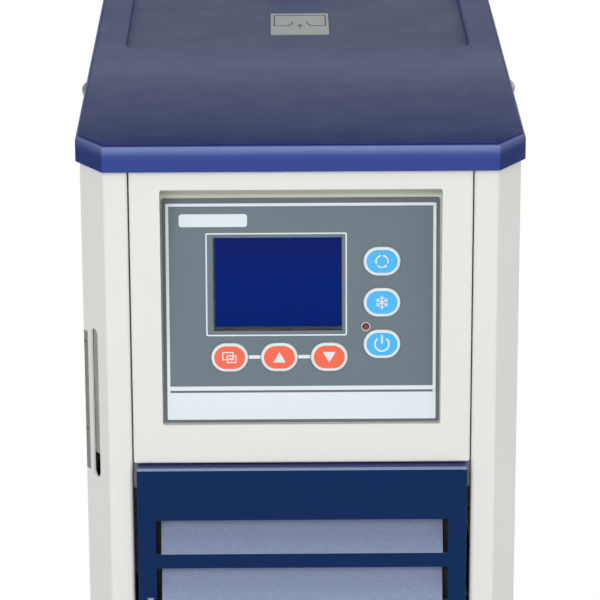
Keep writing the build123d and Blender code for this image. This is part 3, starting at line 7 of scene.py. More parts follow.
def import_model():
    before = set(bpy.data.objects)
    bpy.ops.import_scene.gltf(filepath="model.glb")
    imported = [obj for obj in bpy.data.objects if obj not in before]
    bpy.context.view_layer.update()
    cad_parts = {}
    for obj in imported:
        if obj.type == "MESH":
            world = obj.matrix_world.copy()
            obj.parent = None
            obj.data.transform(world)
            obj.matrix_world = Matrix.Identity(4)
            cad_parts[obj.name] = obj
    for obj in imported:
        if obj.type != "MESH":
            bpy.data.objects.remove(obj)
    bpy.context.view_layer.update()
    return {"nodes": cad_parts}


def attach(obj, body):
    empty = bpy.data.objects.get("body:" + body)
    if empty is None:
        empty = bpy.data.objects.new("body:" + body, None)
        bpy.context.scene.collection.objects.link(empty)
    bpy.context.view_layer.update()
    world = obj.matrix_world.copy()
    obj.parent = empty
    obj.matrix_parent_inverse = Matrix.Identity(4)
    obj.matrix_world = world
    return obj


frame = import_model()
nodes = frame["nodes"]

# Looks of the recirculating chiller: a material for each CAD node, thin prints on the keypad and
# the lid's plate, a few thin strips, and a plain studio with a fitted camera.
# Places, prints and strips are in millimetres, as in the CAD model. Blender's own values for
# shaders, lights, floor and camera are in metres, apart from the camera's lens and sensor.

# Places shared with the CAD model, millimetres and degrees
front_y = -243.0
chamfer_width = 14.0
chamfer_depth = 21.0
post_corner_x = 110.0
pocket_tilt = 6.0
pocket_depth = 3.5
overlay_low = 360.0
overlay_half = 78.2
overlay_height = 129.8
overlay_top = 1.0
key_top = 2.4
key_reach = 10.2
keys = {
    "key_menu": (-40.7, 38.2),
    "key_up": (-12.5, 38.2),
    "key_down": (15.8, 38.2),
    "key_circulate": (45.7, 93.4),
    "key_cool": (45.7, 69.7),
    "key_power": (45.7, 45.5),
}
warm_keys = ("key_menu", "key_up", "key_down")
lamp_place = (36.6, 55.5)
screen = (-49.7, 23.2, 53.4, 107.3)
lid_top = 525.0
louvre_top = 302.6
louvre_pitch = 29.6
label_x = 2.0
label_back = 274.4
label_top = 520.6

# Prints on the overlay, millimetres from its edges or in its own flat coordinates
print_height = 0.04
border_edge = 0.05
border_corner = 1.2
border_inner_corner = 0.8
border_side = 1.9
border_low = 1.7
border_high = 2.9
frame_side = 3.6
frame_high = 4.6
frame_low = 21.1
frame_corner = 0.4
rule_top = 18.7
band_top = 17.4
plaque = (-68.8, -30.3, 113.4, 120.8)
plaque_corner = 1.6
screen_line = (-53.9, 25.9, 50.4, 109.9)
screen_line_width = 0.8
screen_line_corner = 1.0
screen_line_inner_corner = 0.5
# Margins left, right, low and high; the wider left and low ones leave painted shade along the
# display's recessed edge.
screen_field_margins = (1.0, 0.5, 2.2, 0.5)
screen_field_behind = 0.28
screen_field_height = 0.03
link_gap = 0.55
link_half_height = 1.0
lamp_rim_outer = 2.55
lamp_rim_inner = 2.15
key_face_length = 17.6
key_face_width = 13.2
key_face_height = 0.05
mark_height = 0.03
mark_lift = 0.052
mark_step = 0.004

# Strips and marks behind and on the cabinet's sheets, millimetres
sight_strip = (-17.6, -9.6, 338.0, 432.0)
sight_strip_corner = 1.0
sight_strip_height = 0.5
sight_strip_behind = 2.1
level_marks = (404.3, 351.3)
level_mark_back = (-24.2, -21.0)
level_mark_width = 1.0
level_mark_lift = 0.5
# Dark strips behind the louvre ends: painted shade where the inside shows through the gaps.
shade_strip_inner = 78.0
shade_strip_outer = 88.5
shade_strip_low = 64.0
shade_strip_high = 304.0
shade_strip_height = 1.0
shade_strip_y = -236.0

# Where painted light and shade change, and the screen's backlight, millimetres up or back
lid_reflection_reach = 300.0
lid_highlight_below = (8.0, 2.6)
lid_tray_below = (2.5, 4.0)
louvre_fade_above = (4.0, 1.0)
blades_dim_z = 300.0
blades_bright_z = 255.0
pocket_shade_z = (486.0, 500.0)
screen_tone_z = (410.0, 470.0)

# Shader and studio values
edge_radius = 0.0005
edge_reach = 0.12
floor_reach = 14.0
floor_drop = 0.0005
floor_white_from = 0.26
floor_white_to = 0.36
world_left = 0.34
world_right = 0.72
lights = (
    ("front_high", (-0.8, -2.6, 1.75), (0, -0.24, 0.3), (1.5, 0.55), 17.5),
    ("front_low", (-0.5, -2.5, 0.45), (0, -0.24, 0.25), (1.2, 0.6), 4.0),
    ("key_left", (-0.9, -2.2, 1.9), (0, -0.1, 0.4), (1.1, 1.1), 7.0),
    ("fill_right", (1.9, -1.3, 1.3), (0, -0.1, 0.35), (1.1, 1.3), 4.5),
    ("top", (0.0, 0.1, 2.4), (0, 0.1, 0.5), (1.4, 1.4), 6.0),
)
camera_pitch = 18.191
camera_yaw = 0.45
camera_roll = 0.2
camera_sensor = 36.0
camera_lens = 202.6
camera_distance = 1.9
camera_clip_end = 60.0
camera_target = (-0.000744, front_y / 1000, 0.4341)


# Shader helpers
def new_material(name):
    """Material with its node tree and its main shader."""
    mat = bpy.data.materials.new(name)
    mat.use_nodes = True
    tree = mat.node_tree
    return mat, tree, tree.nodes["Principled BSDF"]


def node(tree, kind, **values):
    """Shader node with some of its inputs or properties set."""
    made = tree.nodes.new(kind)
    for key, value in values.items():
        if key in made.inputs:
            made.inputs[key].default_value = value
        else:
            setattr(made, key, value)
    return made


def coords(tree):
    """Coordinates that stay with the object."""
    return node(tree, "ShaderNodeTexCoord").outputs["Object"]


def noise(tree, scale, detail=3.0, stretch=(1, 1, 1)):
    """Noise on the object's coordinates, stretched along its axes."""
    mapping = node(tree, "ShaderNodeMapping")
    mapping.inputs["Scale"].default_value = stretch
    tree.links.new(coords(tree), mapping.inputs["Vector"])
    texture = node(tree, "ShaderNodeTexNoise")
    texture.inputs["Scale"].default_value = scale
    texture.inputs["Detail"].default_value = detail
    tree.links.new(mapping.outputs["Vector"], texture.inputs["Vector"])
    return texture.outputs["Fac"]


def ramp(tree, source, stops):
    """Colour ramp through stops of place and colour."""
    made = node(tree, "ShaderNodeValToRGB")
    band = made.color_ramp
    while len(band.elements) < len(stops):
        band.elements.new(0.5)
    for element, (place, colour) in zip(band.elements, stops):
        element.position = place
        element.color = (*colour, 1.0)
    tree.links.new(source, made.inputs["Fac"])
    return made.outputs["Color"]


def grey_ramp(tree, source, stops):
    """Ramp through stops of place and brightness."""
    return ramp(tree, source, [(place, (value, value, value)) for place, value in stops])


def remap(tree, source, from_low, from_high, to_low=0.0, to_high=1.0):
    """Value moved from one range to another, held at its ends."""
    made = node(tree, "ShaderNodeMapRange")
    made.inputs["From Min"].default_value = from_low
    made.inputs["From Max"].default_value = from_high
    made.inputs["To Min"].default_value = to_low
    made.inputs["To Max"].default_value = to_high
    tree.links.new(source, made.inputs["Value"])
    return made.outputs["Result"]


def height_mask(tree, height, low, high, to_low=0.0, to_high=1.0):
    """Value that changes between two heights, which are given in millimetres."""
    return remap(tree, height, low / 1000, high / 1000, to_low, to_high)


def spread(tree, source, low, high):
    """Noise spread over a range."""
    return remap(tree, source, 0.3, 0.7, low, high)


def maths(tree, operation, first, second=0.0):
    """Math node on two values, each a socket or a number."""
    made = node(tree, "ShaderNodeMath", operation=operation)
    for place, value in enumerate((first, second)):
        if isinstance(value, (int, float)):
            made.inputs[place].default_value = value
        else:
            tree.links.new(value, made.inputs[place])
    return made.outputs["Value"]


def blend(tree, factor, first, second, mode="MIX"):
    """Mix of two colours, each a socket or a plain colour."""
    made = node(tree, "ShaderNodeMix", data_type="RGBA", blend_type=mode)
    colour_a, colour_b, colour_out = 6, 7, 2
    for place, value in ((0, factor), (colour_a, first), (colour_b, second)):
        if isinstance(value, tuple):
            made.inputs[place].default_value = (*value, 1.0)
        elif isinstance(value, (int, float)):
            made.inputs[place].default_value = value
        else:
            tree.links.new(value, made.inputs[place])
    return made.outputs[colour_out]


def times(tree, first, second, factor=1.0):
    """First colour multiplied by the second."""
    return blend(tree, factor, first, second, "MULTIPLY")


def geometry_axis(tree, kind, axis):
    """One axis of the surface's normal or of its place in the part's frame."""
    geometry = node(tree, "ShaderNodeNewGeometry")
    split = node(tree, "ShaderNodeSeparateXYZ")
    tree.links.new(geometry.outputs[kind], split.inputs["Vector"])
    return split.outputs[axis]


def edge_mask(tree):
    """Rises to one where a face lies close to a sharp edge, broken up by noise."""
    rounded = node(tree, "ShaderNodeBevel")
    rounded.samples = 4
    rounded.inputs["Radius"].default_value = edge_radius
    geometry = node(tree, "ShaderNodeNewGeometry")
    dot = node(tree, "ShaderNodeVectorMath", operation="DOT_PRODUCT")
    tree.links.new(rounded.outputs["Normal"], dot.inputs[0])
    tree.links.new(geometry.outputs["Normal"], dot.inputs[1])
    near = remap(tree, dot.outputs["Value"], 1.0 - edge_reach, 1.0, 1.0, 0.0)
    patches = remap(tree, noise(tree, 260), 0.42, 0.62)
    return maths(tree, "MULTIPLY", near, patches)


def shade(colour, factor):
    """Colour made darker or lighter."""
    return tuple(max(0.0, min(1.0, c * factor)) for c in colour)


def srgb(r, g, b):
    """Linear colour of a screen colour with channels up to 255."""
    def channel(v):
        v /= 255.0
        return v / 12.92 if v <= 0.04045 else ((v + 0.055) / 1.055) ** 2.4

    return channel(r), channel(g), channel(b)


def bump(tree, shader, height, strength, distance):
    """Fine relief on a shader."""
    made = node(tree, "ShaderNodeBump")
    made.inputs["Strength"].default_value = strength
    made.inputs["Distance"].default_value = distance
    tree.links.new(height, made.inputs["Height"])
    tree.links.new(made.outputs["Normal"], shader.inputs["Normal"])


def drifting(tree, colour, vary, scale=9.0):
    """Colour that drifts slowly between a darker and a lighter tone."""
    slow = noise(tree, scale, 4.0)
    return ramp(tree, slow, [(0.25, shade(colour, 1 - vary)), (0.75, shade(colour, 1 + vary))])


def surface(
    name, colour, rough=0.4, metallic=0.0, grain=600.0, grain_depth=0.00002, vary=0.04,
    stretch=(1, 1, 1), specular=0.5, coat=0.0, large=9.0, edge=0.25, edge_colour=(0.7, 0.7, 0.7),
):
    """Base material: slow colour drift or a colour function's tones, some with painted light and
    shade, uneven gloss, fine grain, worn edges.
    """
    mat, tree, shader = new_material(name)
    colours = colour(tree) if callable(colour) else drifting(tree, colour, vary, large)
    if edge:
        worn = maths(tree, "MULTIPLY", edge_mask(tree), edge)
        colours = blend(tree, worn, colours, edge_colour)
    tree.links.new(colours, shader.inputs["Base Color"])
    rough_vary = 0.06
    gloss = spread(
        tree, noise(tree, large * 5, 5.0, stretch), rough - rough_vary, rough + rough_vary
    )
    tree.links.new(gloss, shader.inputs["Roughness"])
    shader.inputs["Metallic"].default_value = metallic
    shader.inputs["Specular IOR Level"].default_value = specular
    shader.inputs["Coat Weight"].default_value = coat
    shader.inputs["Coat Roughness"].default_value = 0.1
    bump(tree, shader, noise(tree, grain, 2.0, stretch), 0.5, grain_depth)
    return mat


# Tones of the painted parts, with painted light and shade
def lid_colours(tree):
    """One blue paint with painted light: a deep blue skirt, a painted highlight along the rounded
    edge, and a top painted paler towards the back as painted reflection.
    """
    up = geometry_axis(tree, "Normal", "Z")
    height = geometry_axis(tree, "Position", "Z")
    depth = geometry_axis(tree, "Position", "Y")
    back = remap(tree, depth, front_y / 1000, (front_y + lid_reflection_reach) / 1000)
    skirt = srgb(59, 77, 149)
    edge = srgb(119, 133, 186)
    near = srgb(26, 40, 102)
    # Painted light by facing: the deep blue skirt, a painted highlight on the rounded edge, then the
    # top.
    sides = ramp(tree, up, [(0.0, skirt), (0.2, skirt), (0.45, edge), (0.72, edge), (0.90, near)])
    # Painted highlight in a band just below the rounded edge.
    glow_low, glow_high = (lid_top - drop for drop in lid_highlight_below)
    below_edge = grey_ramp(
        tree, height_mask(tree, height, glow_low, glow_high), [(0.0, 0.0), (0.45, 0.12), (1.0, 0.85)]
    )
    painted_highlight_band = maths(tree, "MULTIPLY", below_edge, remap(tree, up, 0.5, 0.3))
    sides = blend(tree, painted_highlight_band, sides, edge)
    # Painted reflection: the top turns paler and greyer towards the back.
    painted_reflection = ramp(
        tree, back,
        [
            (0.01, near), (0.10, srgb(50, 63, 104)), (0.25, srgb(65, 74, 111)),
            (0.40, srgb(74, 82, 115)), (0.60, srgb(86, 92, 121)), (0.85, srgb(80, 86, 116)),
        ],
    )
    # The painted reflection is a little lighter on the tray's floor, and outside the tray it is
    # lighter from part way back.
    in_tray = height_mask(tree, height, *(lid_top - drop for drop in lid_tray_below))
    painted_reflection = blend(tree, in_tray, painted_reflection, times(tree, painted_reflection, (1.07, 1.10, 1.05)))
    round_tray = ramp(
        tree, back, [(0.36, (1.0, 1.0, 1.0)), (0.58, (1.20, 1.19, 1.17)), (0.68, (1.1, 1.1, 1.1))]
    )
    out_of_tray = maths(tree, "SUBTRACT", 1.0, in_tray)
    painted_reflection = blend(tree, out_of_tray, painted_reflection, times(tree, painted_reflection, round_tray))
    colours = blend(tree, remap(tree, up, 0.86, 0.97), sides, painted_reflection)
    # Painted shade on faces that turn to the sides, such as the lid's chamfered corners.
    aside = maths(tree, "ABSOLUTE", geometry_axis(tree, "Normal", "X"))
    colours = blend(tree, remap(tree, aside, 0.3, 0.8, 0.0, 0.42), colours, srgb(12, 16, 40))
    drift = ramp(tree, noise(tree, 14, 4.0), [(0.3, (0.95, 0.95, 0.96)), (0.7, (1.0, 1.0, 1.0))])
    scuffs = ramp(
        tree, noise(tree, 95, 6.0, (1, 0.35, 1)),
        [(0.62, (1.0, 1.0, 1.0)), (0.74, (1.16, 1.15, 1.1))],
    )
    return times(tree, times(tree, colours, drift), scuffs)


def panel_colours(tree):
    """Navy face of one paint, with painted light: the leaned blades painted paler as painted
    reflection, a painted highlight on the rounded top edge and the bends, and a paler top flange.
    """
    up = geometry_axis(tree, "Normal", "Z")
    height = geometry_axis(tree, "Position", "Z")
    # Painted light by facing: navy front, painted highlight on the bends, paler blades and a paler
    # top flange.
    navy = srgb(16, 45, 91)
    blade_reflection = srgb(140, 151, 180)
    bend_highlight = srgb(162, 177, 208)
    flange_painted_light = srgb(74, 79, 124)
    tone = ramp(
        tree, up,
        [(0.0, navy), (0.10, navy), (0.22, bend_highlight), (0.32, blade_reflection), (0.70, blade_reflection), (0.88, flange_painted_light)],
    )
    # Painted light on each blade, strongest at its top where the sheet above shades it.
    below_slot_top = maths(
        tree, "MODULO",
        maths(tree, "SUBTRACT", (louvre_top + louvre_pitch) / 1000, height), louvre_pitch / 1000,
    )
    blade_painted_light = grey_ramp(
        tree, remap(tree, below_slot_top, 0.0, louvre_pitch / 1000),
        [(0.0, 1.8), (0.08, 1.5), (0.17, 1.08), (0.35, 0.93), (0.6, 0.98)],
    )
    # Painted light that grows lower down the panel.
    panel_painted_light = height_mask(tree, height, blades_dim_z, blades_bright_z, 0.94, 1.14)
    among_slots = height_mask(tree, height, *(louvre_top + rise for rise in louvre_fade_above))
    leaned = times(tree, tone, times(tree, blade_painted_light, panel_painted_light), among_slots)
    grain = ramp(
        tree, noise(tree, 1100), [(0.36, (0.84, 0.85, 0.87)), (0.62, (1.0, 1.0, 1.0))]
    )
    leaned = times(tree, leaned, grain)
    return blend(tree, remap(tree, up, 0.10, 0.24), drifting(tree, navy, 0.04), leaned)


def pocket_colours(tree):
    """White paint of the pocket's floor with painted shade and highlight by height: a pale painted
    highlight line low down, the darkest olive painted shade just above it, and lighter again higher
    up.
    """
    height = geometry_axis(tree, "Position", "Z")
    return ramp(
        tree, height_mask(tree, height, *pocket_shade_z),
        [
            (0.15, srgb(214, 214, 204)), (0.28, srgb(236, 244, 226)), (0.42, srgb(194, 196, 178)),
            (0.55, srgb(206, 204, 198)), (0.64, srgb(222, 220, 214)), (0.75, srgb(240, 238, 232)),
        ],
    )


# Materials with layers of their own
def lit_screen():
    """Blue backlit field with a faint dot grid and uneven light."""
    mat, tree, shader = new_material("lcd_blue_field")
    height = geometry_axis(tree, "Position", "Z")
    tones = ramp(
        tree, height_mask(tree, height, *screen_tone_z),
        [(0.0, srgb(2, 33, 110)), (0.5, srgb(4, 31, 118)), (1.0, srgb(12, 30, 104))],
    )
    dots = ramp(
        tree, noise(tree, 1600, 1.0), [(0.3, (0.90, 0.90, 0.93)), (0.7, (1.0, 1.0, 1.0))]
    )
    tree.links.new(times(tree, tones, dots), shader.inputs["Emission Color"])
    shader.inputs["Emission Strength"].default_value = 0.95
    shader.inputs["Base Color"].default_value = (0.001, 0.002, 0.008, 1)
    tree.links.new(spread(tree, noise(tree, 300), 0.4, 0.5), shader.inputs["Roughness"])
    shader.inputs["Specular IOR Level"].default_value = 0.0
    return mat


def milky_tube():
    """Aged clear plastic: part see-through, streaked along its length, and darker at its rim as
    painted shade where it turns from view.
    """
    mat, tree, shader = new_material("level_tube_clear")
    rim = node(tree, "ShaderNodeLayerWeight", Blend=0.5)
    streak = noise(tree, 900, 3.0, (1, 1, 0.03))
    # Painted shade: darker where the tube turns away from view.
    tones = ramp(
        tree, rim.outputs["Facing"],
        [(0.0, srgb(196, 197, 190)), (0.6, srgb(190, 191, 184)), (0.9, srgb(120, 121, 116))],
    )
    lines = ramp(tree, streak, [(0.4, (0.62, 0.62, 0.61)), (0.6, (1.0, 1.0, 1.0))])
    tree.links.new(times(tree, tones, lines), shader.inputs["Base Color"])
    tree.links.new(spread(tree, streak, 0.12, 0.24), shader.inputs["Roughness"])
    shader.inputs["Transmission Weight"].default_value = 0.25
    shader.inputs["IOR"].default_value = 1.45
    return mat


def clear_window():
    """Clear sheet over the display, nearly without reflection."""
    mat, tree, shader = new_material("display_window_clear")
    shader.inputs["Base Color"].default_value = (0.98, 0.99, 1.0, 1)
    shader.inputs["Transmission Weight"].default_value = 1.0
    shader.inputs["IOR"].default_value = 1.05
    shader.inputs["Specular IOR Level"].default_value = 0.04
    tree.links.new(spread(tree, noise(tree, 60), 0.02, 0.06), shader.inputs["Roughness"])
    bump(tree, shader, noise(tree, 220, 2.0), 0.2, 0.00001)
    return mat


def lamp_lens():
    """Dark red lens of an unlit status lamp."""
    mat, tree, shader = new_material("lamp_red_lens")
    colours = ramp(
        tree, noise(tree, 500, 2.0), [(0.3, (0.16, 0.002, 0.004)), (0.7, (0.34, 0.006, 0.008))]
    )
    tree.links.new(colours, shader.inputs["Base Color"])
    tree.links.new(spread(tree, noise(tree, 300), 0.1, 0.2), shader.inputs["Roughness"])
    shader.inputs["Coat Weight"].default_value = 0.8
    shader.inputs["Subsurface Weight"].default_value = 0.15
    shader.inputs["Subsurface Scale"].default_value = 0.001
    return mat


def film(name, colour, rough, vary):
    """Printed film on the keypad."""
    return surface(
        name, colour, rough, grain=1400, grain_depth=0.00004, vary=vary, specular=0.3, edge=0.0
    )


def key_film(name, colour, rough=0.4, vary=0.03):
    """Film on a key's face."""
    return surface(name, colour, rough, grain=1400, grain_depth=0.00003, vary=vary)


# Materials
white_paint = surface(
    "white_powder_coat", srgb(237, 237, 232), 0.5, grain=900, grain_depth=0.00003,
    vary=0.010, specular=0.3, edge=0.12, edge_colour=(0.9, 0.9, 0.88),
)
# The pocket's white paint, with painted shade and a painted highlight line.
pocket_painted_shade = surface(
    "pocket_white_painted_shade", pocket_colours, 0.55, grain=900, grain_depth=0.00003, specular=0.2,
    edge=0.1,
)
lid_paint = surface(
    "lid_blue_paint", lid_colours, 0.42, grain=420, grain_depth=0.00005, specular=0.04, edge=0.0
)
panel_paint = surface(
    "panel_navy_paint", panel_colours, 0.42, grain=700, grain_depth=0.00003, specular=0.06,
    edge=0.0,
)
zinc = surface("zinc_sheet", (0.48, 0.49, 0.50), 0.38, 0.9, grain=160, vary=0.12, large=45)
screw_metal = surface(
    "screw_nickel", (0.62, 0.61, 0.58), 0.24, 1.0, grain=900, grain_depth=0.00001, vary=0.05
)
stainless = surface(
    "brushed_stainless", (0.58, 0.58, 0.57), 0.3, 1.0, grain=700, stretch=(1, 1, 14), vary=0.05
)
copper = surface(
    "copper_tube", (0.78, 0.36, 0.20), 0.3, 1.0, grain=300, grain_depth=0.00003, vary=0.16,
    large=30,
)
brass = surface(
    "turned_brass", (0.76, 0.56, 0.26), 0.26, 1.0, grain=900, stretch=(1, 12, 1), vary=0.06
)
aluminium = surface("rolled_aluminium", (0.66, 0.67, 0.68), 0.36, 1.0, grain=500, vary=0.06)
# Condenser fins painted near black: painted shade for the dark inside seen past the louvre ends.
fins_painted_shade = surface(
    "condenser_fins_painted_shade", (0.045, 0.045, 0.048), 0.6, 0.3, grain=500, grain_depth=0.00003,
    vary=0.25, large=40,
)
black_rubber = surface(
    "black_rubber", (0.022, 0.022, 0.023), 0.7, grain=700, grain_depth=0.00006, vary=0.2
)
hose_rubber = surface(
    "hose_rubber", (0.035, 0.036, 0.038), 0.55, grain=900, grain_depth=0.00008,
    stretch=(1, 0.2, 1), vary=0.15,
)
foam = surface(
    "closed_cell_foam", (0.028, 0.028, 0.029), 0.85, grain=450, grain_depth=0.0003, vary=0.25
)
black_plastic = surface(
    "moulded_black", (0.020, 0.020, 0.022), 0.42, grain=1100, grain_depth=0.00005, vary=0.1
)
red_plastic = surface(
    "moulded_red", (0.50, 0.018, 0.015), 0.32, grain=900, grain_depth=0.00003, vary=0.08,
    coat=0.3,
)
grey_plastic = surface(
    "moulded_grey", (0.33, 0.34, 0.34), 0.5, grain=900, grain_depth=0.00006, vary=0.05
)
fitting_plastic = surface(
    "fitting_white", (0.62, 0.62, 0.59), 0.4, grain=800, grain_depth=0.00003, vary=0.05
)
motor_paint = surface(
    "motor_enamel", (0.035, 0.045, 0.055), 0.38, grain=500, grain_depth=0.00006, vary=0.12,
    coat=0.3,
)
compressor_paint = surface(
    "compressor_enamel", (0.012, 0.012, 0.013), 0.25, grain=120, grain_depth=0.00015,
    vary=0.15, coat=0.5,
)
board_mask = surface(
    "board_mask", (0.012, 0.10, 0.035), 0.35, grain=350, grain_depth=0.00006, vary=0.2
)
label_film = surface(
    "label_silver_film", srgb(170, 175, 170), 0.42, grain=1200, grain_depth=0.00003,
    vary=0.04, metallic=0.2,
)
scale_film = surface(
    "scale_grey_film", srgb(132, 133, 128), 0.5, grain=1200, grain_depth=0.00003, vary=0.06
)
ink = surface("dark_ink", (0.05, 0.055, 0.05), 0.55, grain=900, grain_depth=0.00001, vary=0.15)
lcd_black = surface("lcd_black_edge", (0.006, 0.006, 0.008), 0.35, grain=900, vary=0.2)
film_grey = film("overlay_grey_film", srgb(111, 125, 134), 0.48, 0.03)
film_dark = film("overlay_border_print", srgb(106, 112, 122), 0.5, 0.03)
film_white = film("overlay_white_print", srgb(232, 240, 245), 0.5, 0.015)
key_white = key_film("key_white_film", srgb(232, 238, 242), 0.42, 0.015)
key_orange = key_film("key_orange_film", srgb(253, 106, 72))
key_blue = key_film("key_blue_film", srgb(70, 188, 252))
lcd_blue = lit_screen()
window_glass = clear_window()
tube_clear = milky_tube()
red_lens = lamp_lens()

paints = {
    white_paint: ("left_side_panel", "right_side_panel", "front_panel", "rear_panel"),
    pocket_painted_shade: ("control_bracket",),
    lid_paint: ("top_cover",),
    panel_paint: ("lower_front_panel",),
    zinc: ("base_tray", "shelf", "front_rail", "fan_shroud"),
    screw_metal: ("lid_screws", "rear_screws"),
    stainless: ("reservoir", "reservoir_lid", "temperature_probe", "pump_head"),
    copper: (
        "evaporator_coil", "condenser_tubes", "discharge_pipe", "liquid_line", "capillary",
        "suction_pipe",
    ),
    brass: ("hose_nozzles", "drain_valve"),
    aluminium: ("fan_blade",),
    fins_painted_shade: ("condenser_core",),
    black_rubber: ("feet", "compressor_mounts"),
    hose_rubber: ("short_hoses", "delivery_hose", "return_hose", "level_hose", "vent_hose"),
    foam: ("reservoir_jacket",),
    black_plastic: ("terminal_cover", "power_inlet", "switch_frame"),
    red_plastic: ("drain_lever", "power_switch"),
    grey_plastic: ("electrical_box",),
    fitting_plastic: ("level_elbows", "filler_cap"),
    motor_paint: ("pump_motor", "fan_motor"),
    compressor_paint: ("compressor",),
    board_mask: ("control_board",),
    film_grey: ("keypad_overlay",),
    key_white: tuple(keys),
    label_film: ("fill_label",),
    scale_film: ("level_scale",),
    lcd_black: ("display_module",),
    window_glass: ("display_window",),
    tube_clear: ("level_tube",),
    red_lens: ("status_lamp",),
}


def paint_nodes():
    """Each CAD node gets its material, and its mesh and place stay."""
    for paint, names in paints.items():
        for name in names:
            made = nodes[name]
            for obj in made if isinstance(made, (list, tuple)) else [made]:
                if obj.material_slots:
                    for place in obj.material_slots:
                        place.material = paint
                else:
                    obj.data.materials.append(paint)


# Flat outlines, millimetres in a plane
def box_loop(x0, x1, y0, y1, radius=0.0, steps=6):
    """Rectangle, with round corners where a radius is given."""
    if radius <= 0:
        return [(x0, y0), (x1, y0), (x1, y1), (x0, y1)]
    points = []
    corners = (
        (x1 - radius, y0 + radius, -90), (x1 - radius, y1 - radius, 0),
        (x0 + radius, y1 - radius, 90), (x0 + radius, y0 + radius, 180),
    )
    for cx, cy, start in corners:
        for i in range(steps + 1):
            angle = radians(start + 90 * i / steps)
            points.append((cx + radius * cos(angle), cy + radius * sin(angle)))
    return points


def stadium(cx, cy, length, height, steps=20):
    """Bar with half-round ends."""
    return box_loop(
        cx - length / 2, cx + length / 2, cy - height / 2, cy + height / 2, height / 2 - 0.001,
        steps,
    )


def circle_loop(cx, cy, radius, steps=36):
    """Circle."""
    return [
        (cx + radius * cos(2 * pi * i / steps), cy + radius * sin(2 * pi * i / steps))
        for i in range(steps)
    ]


def arc_band(cx, cy, radius, width, start, end, steps=28):
    """Band of a given width along an arc, with angles in degrees."""
    outer = []
    inner = []
    for i in range(steps + 1):
        angle = radians(start + (end - start) * i / steps)
        for side, points in ((1, outer), (-1, inner)):
            reach = radius + side * width / 2
            points.append((cx + reach * cos(angle), cy + reach * sin(angle)))
    return outer + inner[::-1]


def bar(x0, y0, x1, y1, width):
    """Straight stroke of a given width between two points."""
    along = Vector((x1 - x0, y1 - y0)).normalized()
    side = Vector((-along.y, along.x)) * width / 2
    return [
        (x0 + side.x, y0 + side.y), (x1 + side.x, y1 + side.y),
        (x1 - side.x, y1 - side.y), (x0 - side.x, y0 - side.y),
    ]


# Planes that the flat pieces lie in
def plane_matrix(along, up, out, origin):
    """Matrix from flat coordinates to the part's frame, from three axes and an origin."""
    place = Matrix.Identity(4)
    for row in range(3):
        place[row][0] = along[row]
        place[row][1] = up[row]
        place[row][2] = out[row]
        place[row][3] = origin[row]
    return place


def keypad_place(height):
    """Plane of the keypad's overlay, at a height above its back."""
    lean = radians(pocket_tilt)
    up = Vector((0, sin(lean), cos(lean)))
    out = Vector((0, -cos(lean), sin(lean)))
    back = Vector((0, (front_y + pocket_depth) / 1000, overlay_low / 1000))
    return plane_matrix((1, 0, 0), up, out, back + out * height / 1000)


def chamfer_place(lift):
    """Plane of the left chamfer, x forward along it and y up, lifted off its face."""
    forward = Vector((chamfer_width, -chamfer_depth, 0)).normalized()
    out = Vector((-chamfer_depth, -chamfer_width, 0)).normalized()
    corner = Vector((-post_corner_x, front_y, 0)) / 1000
    return plane_matrix(forward, (0, 0, 1), out, corner + out * lift / 1000)


def front_place(y):
    """Upright plane that faces the front, at a y in millimetres."""
    return plane_matrix((1, 0, 0), (0, 0, 1), (0, -1, 0), (0, y / 1000, 0))


def lid_place(lift):
    """Plane of the top of the lid's plate, y back from a point in front of it, lifted off it."""
    return Matrix.Translation(
        (label_x / 1000, (front_y + label_back) / 1000, (label_top + lift) / 1000)
    )


def flat_piece(name, loops, thickness, material, place, body):
    """Thin plate from closed loops in a plane, with holes where loops nest."""
    curve = bpy.data.curves.new(name + "_outline", "CURVE")
    curve.dimensions = "2D"
    curve.fill_mode = "BOTH"
    curve.extrude = thickness / 2000
    for loop in loops:
        spline = curve.splines.new("POLY")
        spline.points.add(len(loop) - 1)
        for point, (x, y) in zip(spline.points, loop):
            point.co = (x / 1000, y / 1000, 0, 1)
        spline.use_cyclic_u = True
    holder = bpy.data.objects.new(name + "_holder", curve)
    bpy.context.scene.collection.objects.link(holder)
    bpy.context.view_layer.update()
    evaluated = holder.evaluated_get(bpy.context.evaluated_depsgraph_get())
    mesh = bpy.data.meshes.new_from_object(evaluated)
    bpy.data.objects.remove(holder)
    mesh.name = name
    mesh.transform(Matrix.Translation((0, 0, thickness / 2000)))
    mesh.transform(place)
    mesh.materials.clear()
    mesh.materials.append(material)
    piece = bpy.data.objects.new(name, mesh)
    bpy.context.scene.collection.objects.link(piece)
    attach(piece, body)


# Prints on the overlay
def overlay_print(name, loops, material, height=print_height):
    """Printed area on the overlay's face."""
    flat_piece(name, loops, height, material, keypad_place(overlay_top), "cabinet")


def overlay_loop(side, low, high, radius):
    """Rectangle inside the overlay, from its sides, its lower edge and its upper edge."""
    return box_loop(-overlay_half + side, overlay_half - side, low, overlay_height - high, radius)


